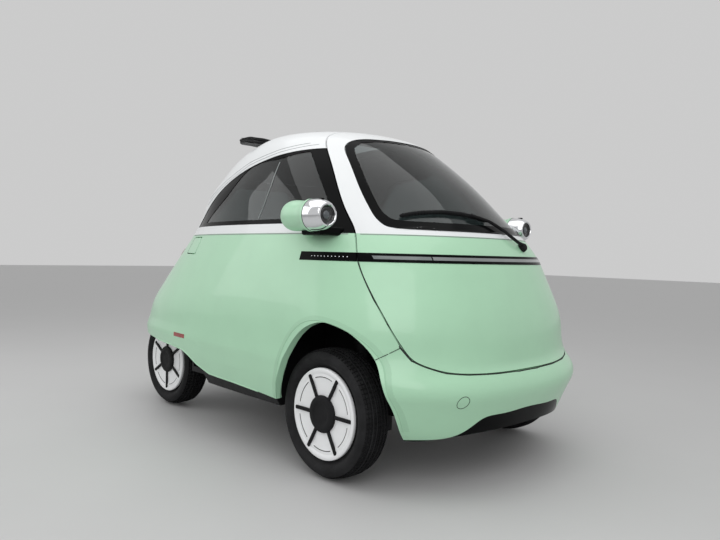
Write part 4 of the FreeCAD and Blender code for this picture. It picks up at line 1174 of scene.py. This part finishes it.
@dataclass
class ScreenBorder:
    """The dark printed border round the windshield, laid on the glass and over its frame's edge."""

    paint: Palette
    outline: tuple[Flat, ...] = ((0.000, 1.0085), (0.290, 1.0090), (0.408, 1.0110), (0.452, 1.0145),
                                 (0.4665, 1.0225), (0.4735, 1.0400), (0.4740, 1.0600), (0.4672, 1.0915),
                                 (0.4495, 1.1600), (0.4340, 1.2108), (0.4140, 1.2632), (0.3810, 1.3390),
                                 (0.3465, 1.3960), (0.2895, 1.4310), (0.2020, 1.4460), (0.1100, 1.4490),
                                 (0.000, 1.4490))
    inner_low: float = 1.043
    inner_high: float = 1.4365
    narrowing: float = 0.925
    within_share: float = 0.994
    lift: float = 0.0018
    steps: int = 96
    rows: int = 14

    def build(self) -> None:
        """Build the border on both halves of the glass."""
        self.glass = SkinProbe(["windshield", "door_surround"])
        low, high = self.outline[0][1], self.outline[-1][1]
        stretch = (self.inner_high - self.inner_low) / (high - low)
        self.inner = [(y * self.narrowing, self.inner_low + (z - low) * stretch) for y, z in self.outline]
        halves = [self._half(sign) for sign in (1.0, -1.0)]
        Piece(DOOR, "black_gloss", self.paint.gloss_black).make("windshield_border", Shapes.joined(halves))

    def _half(self, sign: float) -> bmesh.types.BMesh:
        """One half of the border."""
        return Shapes.bent(lambda u, v: self._place(sign, u, v), self.steps, self.rows)

    def _place(self, sign: float, u: float, v: float) -> Vector | None:
        """A place of the border.

        Args:
            sign: 1 for the left half, -1 for the right half.
            u: The share of the way along the outline.
            v: The share of the way from the outer to the inner outline.

        Returns:
            The place on the glass or its frame.
        """
        y0, z0 = Shapes.along(self.outline, u)
        y1, z1 = Shapes.along(self.inner, u)
        y = sign * (y0 + (y1 - y0) * v) * self.within_share
        return self.glass.hit_nose(y, z0 + (z1 - z0) * v, self.lift)


@dataclass
class SidePanes:
    """The edges of the side windows' sliding panes."""

    paint: Palette
    slide: tuple[Flat, ...] = ((0.196, 1.325), (0.208, 1.213), (0.194, 1.120), (0.168, 1.035))
    edge: float = 0.0018
    lift: float = 0.001

    def build(self) -> None:
        """Trace the sliding pane's edge on both windows."""
        glass = SkinProbe(["side_windows"])
        lines = [Shapes.tube(glass.side(side, self.slide, self.lift), self.edge) for side in Side]
        Piece(BODY, "black_gloss", self.paint.cant_line).make("sliding_pane_edges", Shapes.joined(lines))


@dataclass
class LightStrips:
    """The lamps in the black strips: a silver bar in the door, dots in the sides."""

    paint: Palette
    bar_half: float = 0.385
    bar_gap: float = 0.005
    bar_end: float = 0.568
    bar_low: float = 0.8892
    bar_high: float = 0.9022
    bar_steps: int = 64
    bar_rows: int = 4
    bar_lift: float = 0.0006
    bar_thickness: float = 0.0008
    dot_z: float = 0.8955
    dot_start: float = 0.625
    dot_end: float = 0.785
    dot_count: int = 11
    dot_radius: float = 0.0020
    dot_shares: tuple[Flat, ...] = ((-0.001, 0.0), (-0.001, 1.0), (0.0008, 0.8), (0.0012, 0.0))
    dot_out: Flat = (0.25, 0.1)

    def build(self) -> None:
        """Build the bar, its two dim ends and the dots."""
        self.door = SkinProbe(["door_strip"])
        Piece(DOOR, "bright_trim", self.paint.light_bar).make(
            "door_light_bar", self._bar(-self.bar_half, self.bar_half))
        split = self.bar_half + self.bar_gap
        ends = [self._bar(-self.bar_end, -split), self._bar(split, self.bar_end)]
        Piece(DOOR, "bright_trim", self.paint.dim_bar).make("door_light_ends", Shapes.joined(ends))
        Piece(BODY, "lamp_lens", self.paint.lamp_dot).make("side_lamp_dots", Shapes.joined(self._dots()))

    def _bar(self, start: float, end: float) -> bmesh.types.BMesh:
        """A flat bar along the door's strip.

        Args:
            start: Its right end's place across the car.
            end: Its left end's place.

        Returns:
            The bmesh.
        """
        def spot(u: float, v: float) -> Vector | None:
            """A place of the bar."""
            z = self.bar_low + (self.bar_high - self.bar_low) * v
            return self.door.hit_nose(start + (end - start) * u, z, self.bar_lift)

        return Shapes.bent(spot, self.bar_steps, self.bar_rows, self.bar_thickness)

    def _dots(self) -> list[bmesh.types.BMesh]:
        """The small domes of the side strips' lamps.

        Returns:
            A bmesh for each dome.
        """
        strips = SkinProbe(["side_strips"])
        section = [(place, self.dot_radius * share) for place, share in self.dot_shares]
        lean, rise = self.dot_out
        dots = []
        for side in Side:
            for k in range(self.dot_count):
                x = self.dot_start + (self.dot_end - self.dot_start) * k / (self.dot_count - 1)
                spot = strips.hit_side(side, x, self.dot_z, 0.0)
                if spot:
                    dots.append(Shapes.turned(section, spot, Vector((lean, side.value, rise)), 8))
        return dots


@dataclass
class Pod:
    """A lamp pod's details: its lamp's ring, bowl and eye, the slot on its top and the green band.

    A section is pairs of a place along the car and a radius. Places start at the pod's front, and those
    of the bowl and the eye at the lens's depth behind it. In rises the second number is what the radius
    adds to the ring's or the pod's.
    """

    side: Side
    paint: Palette
    front_x: float = 0.752
    place_y: float = 0.700
    place_z: float = 1.057
    radius: float = 0.066
    ring_radius: float = 0.0405
    ring_rises: tuple[Flat, ...] = ((-0.006, -0.0028), (-0.0005, -0.0032), (0.0022, -0.0008),
                                    (0.0026, 0.0018), (0.0012, 0.0044), (-0.0025, 0.0060))
    lens_depth: float = 0.010
    bowl: tuple[Flat, ...] = ((0.0003, 0.0), (0.0003, 0.020), (0.0020, 0.022), (0.0008, 0.026),
                              (0.0022, 0.030), (0.0008, 0.034), (0.0030, 0.0372))
    eye: tuple[Flat, ...] = ((0.0004, 0.0165), (0.0030, 0.0160), (0.0062, 0.0120), (0.0078, 0.0060),
                             (0.0082, 0.0))
    slot_place: float = -0.040
    slot_sink: float = 0.0045
    slot_size: Point = (0.026, 0.010, 0.010)
    slot_round: float = 0.003
    band_rises: tuple[Flat, ...] = ((-0.0965, -0.002), (-0.0965, 0.0004), (-0.088, 0.0005),
                                    (-0.080, 0.0004), (-0.080, -0.004))
    joint_rises: tuple[Flat, ...] = ((-0.081, -0.002), (-0.081, 0.0005), (-0.079, 0.0005), (-0.079, -0.002))

    def build(self) -> None:
        """Build the lamp, the slot, the band and the joint before the bright front."""
        self.front = Vector((self.front_x, self.side.value * self.place_y, self.place_z))
        paint = self.paint
        ring = self._raised(self.ring_rises, self.ring_radius)
        self._turn("lamp_ring", "bright_trim", paint.chrome, ring, 64)
        self._turn("lamp_bowl", "lamp_lens", paint.smoked, self._sunk(self.bowl), 48, closed=False)
        self._turn("lamp_eye", "lamp_lens", paint.eye, self._sunk(self.eye), 40, closed=False)
        slot = Matrix.Translation(self.front + Vector((self.slot_place, 0, self.radius - self.slot_sink)))
        Piece(BODY, "black_gloss", paint.gloss_black).make(
            f"pod_slot_{self.side.name.lower()}", Shapes.block(self.slot_size, slot, self.slot_round))
        self._turn("pod_band", "green_paint", paint.green, self._raised(self.band_rises, self.radius), 64)
        self._turn("pod_joint", "black_gloss", paint.seam, self._raised(self.joint_rises, self.radius), 64)

    def _turn(self, name: str, slot: str, finish: bpy.types.Material, section: Sequence[Flat], steps: int,
              closed: bool = True) -> None:
        """A turned piece on the pod's axis.

        Args:
            name: The piece's name without its side.
            slot: The piece's slot.
            finish: Its material.
            section: Places from the pod's front, and radii.
            steps: The number of steps round.
            closed: Whether the section is a ring's.
        """
        mesh = Shapes.turned(section, self.front, Vector((1, 0, 0)), steps, closed)
        Piece(BODY, slot, finish).make(f"{name}_{self.side.name.lower()}", mesh)

    def _sunk(self, section: Sequence[Flat]) -> list[Flat]:
        """A section of the lamp, from the bottom of its bowl."""
        return [(place - self.lens_depth, height) for place, height in section]

    @staticmethod
    def _raised(rises: Sequence[Flat], radius: float) -> list[Flat]:
        """A section from what its radii add to another radius."""
        return [(place, radius + rise) for place, rise in rises]


@dataclass
class WiperArm:
    """The windshield wiper: a ribbed blade, a bent arm and its pivot."""

    paint: Palette
    blade: tuple[Flat, ...] = ((-0.397, 1.060), (-0.350, 1.071), (-0.297, 1.079), (-0.216, 1.084),
                               (-0.123, 1.081), (-0.050, 1.071), (0.014, 1.058))
    arm: tuple[Flat, ...] = ((-0.080, 1.072), (0.018, 1.050), (0.066, 1.024), (0.097, 0.994),
                             (0.141, 0.964), (0.188, 0.953))
    boss: Flat = (0.190, 0.953)
    clear: float = 0.010
    step: float = 0.008
    blade_wire: float = 0.0066
    rib: tuple[Flat, ...] = ((-0.0036, 0.0), (-0.0030, 0.0098), (0.0030, 0.0098), (0.0036, 0.0))
    rib_pitch: float = 0.014
    rib_look: float = 0.3
    arm_rise: float = 0.009
    arm_wire: float = 0.0072
    pivot: tuple[Flat, ...] = ((0.0, 0.0), (0.0, 0.0210), (0.018, 0.0200), (0.027, 0.0150), (0.032, 0.0))
    pivot_sink: float = 0.004
    pivot_out: Point = (1.0, 0.0, 0.25)

    def build(self) -> None:
        """Build the wiper's pieces."""
        screen = SkinProbe(["windshield", "door_surround", "door_panel"])
        finish = Piece(DOOR, "black_matte", self.paint.matte_black)
        blade = screen.nose(self.blade, self.clear, self.step)
        blades = finish.make("wiper_blade", self._ribbed(blade))
        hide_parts("wiper")
        arm = screen.nose(self.arm, self.clear + self.arm_rise, self.step)
        finish.make("wiper_arm", Shapes.tube(arm, self.arm_wire))
        foot = screen.hit_nose(*self.boss, -self.pivot_sink)
        finish.make("wiper_pivot", Shapes.turned(self.pivot, foot, Vector(self.pivot_out), 32))

    def _ribbed(self, line: Sequence[Vector]) -> bmesh.types.BMesh:
        """The blade's bar with its ribs.

        Args:
            line: The blade's middle line.

        Returns:
            The bmesh.
        """
        beads = [Shapes.tube(line, self.blade_wire)]
        count = int(sum((b - a).length for a, b in zip(line, line[1:])) / self.rib_pitch)
        for k in range(1, count):
            spot = Shapes.along(line, k / count)
            way = (Shapes.along(line, min((k + self.rib_look) / count, 1.0)) - spot).normalized()
            beads.append(Shapes.turned(self.rib, spot, way, 10))
        return Shapes.joined(beads)


@dataclass
class FoldedRoof:
    """The opened fabric roof, gathered in folds behind its opening.

    Each sag is a wave: its height, and its turns in radians across the car and along the cloth.
    """

    paint: Palette
    rear_x: float = -0.393
    front_x: float = -0.297
    top_z: float = 1.5235
    pitch: float = 0.0082
    folds: int = 5
    half: float = 0.372
    round_off: float = 0.030
    end_share: float = 0.75
    flat_share: float = 0.35
    thickness: float = 0.0014
    grid: tuple[int, int] = (120, 150)
    sags: tuple[Point, ...] = ((0.0011, 31.0, 23.0), (0.0008, 67.0, 41.0))
    sag_ways: Flat = (1.5, 0.5)
    bends: tuple[int, ...] = (30, 60, 90, 120, 150)

    def build(self) -> None:
        """Fold the cloth and lay it over the roof's rear edge."""
        self.profile = self._profile()
        self.middle = ((self.rear_x + self.front_x) / 2, self.top_z - self.pitch * (self.folds - 1) / 2)
        cloth = Shapes.bent(self._place, *self.grid, self.thickness)
        thing = Piece(BODY, "black_fabric", self.paint.roof_cloth, crease=0.0).make(
            "folded_roof_cloth", cloth)
        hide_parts("folded_roof")

    def _place(self, u: float, v: float) -> Vector:
        """A place of the folded cloth, its ends rounded off and its runs a little uneven.

        Args:
            u: The share of the way across the car.
            v: The share of the way along the cloth.

        Returns:
            The place.
        """
        y = self.half * (2 * u - 1)
        x, z = Shapes.along(self.profile, v)
        mid_x, mid_z = self.middle
        over = max(abs(y) - (self.half - self.round_off), 0.0) / self.round_off
        shrink = math.sqrt(max(1 - over * over * self.end_share, 0.0))
        sag = sum(size * math.sin(y * across + v * along) for size, across, along in self.sags)
        flatten = self.flat_share + (1 - self.flat_share) * shrink
        return Vector((mid_x + (x - mid_x) * shrink + sag * self.sag_ways[0], y,
                       mid_z + (z - mid_z) * flatten + sag * self.sag_ways[1]))

    def _profile(self) -> list[Flat]:
        """The cloth's path seen from the side, in level runs joined by half turns.

        Returns:
            The path's (x, z) points, from the top run down.
        """
        r = self.pitch / 2
        points: list[Flat] = []
        for k in range(self.folds):
            z = self.top_z - k * self.pitch
            forward = k % 2 == 0
            start, end = (self.rear_x, self.front_x) if forward else (self.front_x, self.rear_x)
            points += [(start, z), (end, z)]
            if k < self.folds - 1:
                sign = 1.0 if forward else -1.0
                points += [(end + sign * r * math.sin(a), z - r + r * math.cos(a))
                           for a in map(math.radians, self.bends)]
        return points


@dataclass
class Springs:
    """The coils round the four dampers, each with its x, y, lower end and upper end."""

    paint: Palette
    places: tuple[tuple[float, float, float, float], ...] = (
        (0.7135, 0.455, 0.338, 0.592), (0.7135, -0.455, 0.338, 0.592),
        (-0.8525, 0.300, 0.305, 0.532), (-0.8525, -0.300, 0.305, 0.532))
    coil_radius: float = 0.0365
    wire: float = 0.0052
    turns: int = 6
    round_steps: int = 20

    def build(self) -> None:
        """Wind every coil."""
        coils = [Shapes.tube(self._coil(*place), self.wire) for place in self.places]
        Piece(BODY, "chassis_steel", self.paint.chassis).make("spring_coils", Shapes.joined(coils))

    def _coil(self, x: float, y: float, low: float, high: float) -> list[Vector]:
        """One coil's middle line.

        Args:
            x: The damper's place along the car.
            y: Its place across the car.
            low: The coil's lower end.
            high: The coil's upper end.

        Returns:
            The line's points.
        """
        count = self.turns * self.round_steps
        points = []
        for k in range(count + 1):
            turn = 2 * math.pi * k / self.round_steps
            points.append(Vector((x + self.coil_radius * math.cos(turn),
                                  y + self.coil_radius * math.sin(turn),
                                  low + (high - low) * k / count)))
        return points


@dataclass
class Lining:
    """Dark trim on the inward faces of panels, made from merged copies of their meshes.

    A face is kept where it looks to the cabin's middle and the panel behind it is neither thinner nor
    thicker than the limits.
    """

    name: str
    nodes: tuple[str, ...]
    body: str
    paint: Palette
    lift: float = 0.0012
    thinnest: float = 0.002
    thickest: float = 0.400
    inward: float = 0.34
    middle: Point = (0.1, 0.0, 0.85)
    start: float = 0.0005

    def build(self) -> None:
        """Keep the faces that look into the cabin and have the panel's outer face behind them."""
        mesh = Shapes.merged_copy(self.nodes)
        mesh.normal_update()
        tree = BVHTree.FromBMesh(mesh)
        lost = [face for face in mesh.faces if not self._looks_in(face, tree)]
        bmesh.ops.delete(mesh, geom=lost, context="FACES")
        mesh.normal_update()
        for vert in mesh.verts:
            vert.co += vert.normal * self.lift
        Piece(self.body, "black_matte", self.paint.lining, keep_faces=True).make(self.name, mesh)

    def _looks_in(self, face: bmesh.types.BMFace, tree: BVHTree) -> bool:
        """Whether a face belongs to the inner side of its panel.

        Args:
            face: The face.
            tree: The panels' faces.

        Returns:
            True for an inner face.
        """
        centre = face.calc_center_median()
        if face.normal.dot((Vector(self.middle) - centre).normalized()) <= self.inward:
            return False
        _, _, _, depth = tree.ray_cast(centre - face.normal * self.start, -face.normal)
        return depth is not None and self.thinnest < depth < self.thickest


class Dress:
    """Gives each CAD node its finish."""

    def __init__(self, paint: Palette) -> None:
        """Note which finish each node takes.

        Args:
            paint: The car's finishes.
        """
        self.finishes: dict[bpy.types.Material, list[str]] = {
            paint.green: ["rear_panel", "front_bumper", "side_panel_right", "side_panel_left",
                          "charge_flap", "door_panel", "tailgate_panel", "lamp_housings"],
            paint.white: ["cabin_frame", "door_surround", "tailgate_surround"],
            paint.gloss_black: ["front_lip", "side_strips", "window_frames", "door_strip",
                                "tailgate_strip", "lamp_feet"],
            paint.matte_black: ["sunroof_frame", "front_wheelhouses", "seat_base", "steering_column",
                                "steering_wheel", "door_bar", "wiper", "tailgate_hinge_leaves",
                                "tailgate_hinge_posts", "battery_block"],
            paint.glass: ["side_windows", "windshield", "rear_window"],
            paint.smoked: ["lamp_lenses"],
            paint.mirror: ["lamp_mirrors"],
            paint.chrome: ["lamp_bezels"],
            paint.red: ["red_lenses"],
            paint.roof_cloth: ["folded_roof"],
            paint.seat_cloth: ["bench_cushion", "seat_back"],
            paint.chassis: ["floor_pan", "front_beam", "rear_floor", "front_suspension", "rear_axle"],
            paint.cast_metal: ["motor_block"],
            paint.steel: ["pedals", "knuckle_left", "knuckle_right", "door_hinge_post",
                          "door_hinge_arms"],
            paint.rubber: [f"tyre_{corner}" for corner in CORNERS],
            paint.disc_white: [f"wheel_{corner}" for corner in CORNERS],
        }

    def build(self) -> None:
        """Assign the finishes, and warn of a node without one."""
        dressed = set()
        for material, names in self.finishes.items():
            for name in names:
                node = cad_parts[name]
                node.data.materials.clear()
                node.data.materials.append(material)
                dressed.add(name)
        for name in sorted(set(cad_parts) - dressed):
            LOG.warning("%s has no finish", name)


@dataclass(frozen=True)
class SoftLamp:
    """A soft rectangular lamp."""

    name: str
    place: Point
    aim: Point
    size: Flat
    watts: float

    def build(self) -> None:
        """Hang the lamp and turn it to the point that it faces."""
        data = bpy.data.lights.new(self.name, "AREA")
        data.shape = "RECTANGLE"
        data.size, data.size_y = self.size
        data.energy = self.watts
        lamp = bpy.data.objects.new(self.name, data)
        way = Vector(self.aim) - Vector(self.place)
        turn = way.to_track_quat("-Z", "Y").to_matrix().to_4x4()
        lamp.matrix_world = Matrix.Translation(self.place) @ turn
        bpy.context.scene.collection.objects.link(lamp)


@dataclass
class Studio:
    """The floor, the lights and the camera."""

    eye: Point = (2.7025, -2.38, 0.908)
    yaw: float = 136.36
    pitch: float = -1.4
    roll: float = 1.45
    focal_pixels: float = 661.5
    image_width: float = 720.0
    sensor: float = 36.0
    view_end: float = 100.0
    floor_half: float = 30.0
    floor_tone: Colour = (0.58, 0.58, 0.58)
    floor_fade: float = 0.98
    floor_patches: float = 1.5
    floor_roughness: Flat = (0.55, 0.7)
    wall_tone: Colour = (0.60, 0.60, 0.60)
    lamps: tuple[SoftLamp, ...] = (
        SoftLamp("overhead", place=(0.3, -0.6, 3.6), aim=(0.0, 0.0, 0.5), size=(4.5, 3.5), watts=42.0),
        SoftLamp("front_right", place=(3.6, -3.2, 3.0), aim=(0.4, 0.0, 0.6), size=(3.6, 3.0), watts=52.0),
        SoftLamp("rear_right", place=(-3.0, -3.4, 2.6), aim=(-0.2, 0.0, 0.6), size=(3.2, 3.0), watts=26.0))

    def build(self) -> None:
        """Build the studio."""
        self._camera()
        self._floor()
        self._world()
        for lamp in self.lamps:
            lamp.build()
        bpy.context.scene.view_settings.view_transform = "Standard"

    def _camera(self) -> None:
        """The camera at the photograph's viewpoint."""
        yaw, pitch, roll = (math.radians(v) for v in (self.yaw, self.pitch, self.roll))
        forward = Vector((math.cos(yaw) * math.cos(pitch), math.sin(yaw) * math.cos(pitch), math.sin(pitch)))
        level = Vector((math.sin(yaw), -math.cos(yaw), 0))
        up = level.cross(forward)
        right = level * math.cos(roll) + up * math.sin(roll)
        top = level * -math.sin(roll) + up * math.cos(roll)
        data = bpy.data.cameras.new("photo_view")
        data.sensor_width = self.sensor
        data.lens = self.focal_pixels * self.sensor / self.image_width
        data.clip_end = self.view_end
        camera = bpy.data.objects.new("photo_view", data)
        axes = Matrix((right, top, -forward)).transposed().to_4x4()
        camera.matrix_world = Matrix.Translation(self.eye) @ axes
        bpy.context.scene.collection.objects.link(camera)
        bpy.context.scene.camera = camera

    def _floor(self) -> None:
        """A pale floor."""
        desk = NodeDesk("pale_floor")
        patches = desk.noise(self.floor_patches)
        desk.tint(patches.outputs["Fac"], shaded(self.floor_tone, self.floor_fade), self.floor_tone)
        desk.spread_roughness(patches.outputs["Fac"], *self.floor_roughness)
        mesh = bmesh.new()
        bmesh.ops.create_grid(mesh, x_segments=1, y_segments=1, size=self.floor_half)
        data = bpy.data.meshes.new("studio_floor")
        mesh.to_mesh(data)
        mesh.free()
        data.materials.append(desk.material)
        floor = bpy.data.objects.new("studio_floor", data)
        bpy.context.scene.collection.objects.link(floor)

    def _world(self) -> None:
        """A soft plain surround of one tone, which is also the backdrop."""
        world = bpy.data.worlds.new("studio_air")
        world.use_nodes = True
        background = world.node_tree.nodes["Background"]
        background.inputs["Color"].default_value = (*self.wall_tone, 1.0)
        background.inputs["Strength"].default_value = 1.0
        bpy.context.scene.world = world


def main() -> None:
    """Build the studio and the car's looks, class by class."""
    logging.basicConfig(level=logging.INFO, format="%(message)s")
    paint = Palette()
    Studio().build()
    Dress(paint).build()
    for corner, (centre, side, turn) in CORNERS.items():
        Wheel(corner, f"wheel_{corner}", centre, side, paint, spoke_turn=turn).build()
    Pad("bench_pad", "bench_cushion", paint, low=(0.006, -0.56, 0.0005), high=(0.50, 0.56, 0.13),
        lean=0.0, pivot=SEAT_PIVOT).build()
    Pad("back_pad", "seat_back", paint, low=(0.0005, -0.47, 0.142), high=(0.11, 0.47, 0.52),
        lean=14.0, pivot=SEAT_PIVOT).build()
    DoorGap(paint).build()
    SkinLines(paint).build()
    for side in Side:
        ArchFlange(side, paint).build()
    ScreenBorder(paint).build()
    SidePanes(paint).build()
    LightStrips(paint).build()
    for side in Side:
        Pod(side, paint).build()
    WiperArm(paint).build()
    FoldedRoof(paint).build()
    Springs(paint).build()
    fixed_panels = ("side_panel_right", "side_panel_left", "cabin_frame", "rear_panel")
    Lining("cabin_lining", fixed_panels, BODY, paint).build()
    Lining("door_lining", ("door_panel", "door_surround"), DOOR, paint).build()
    Lining("tailgate_lining", ("tailgate_panel", "tailgate_surround"), TAILGATE, paint).build()


if __name__ == "__main__":
    main()
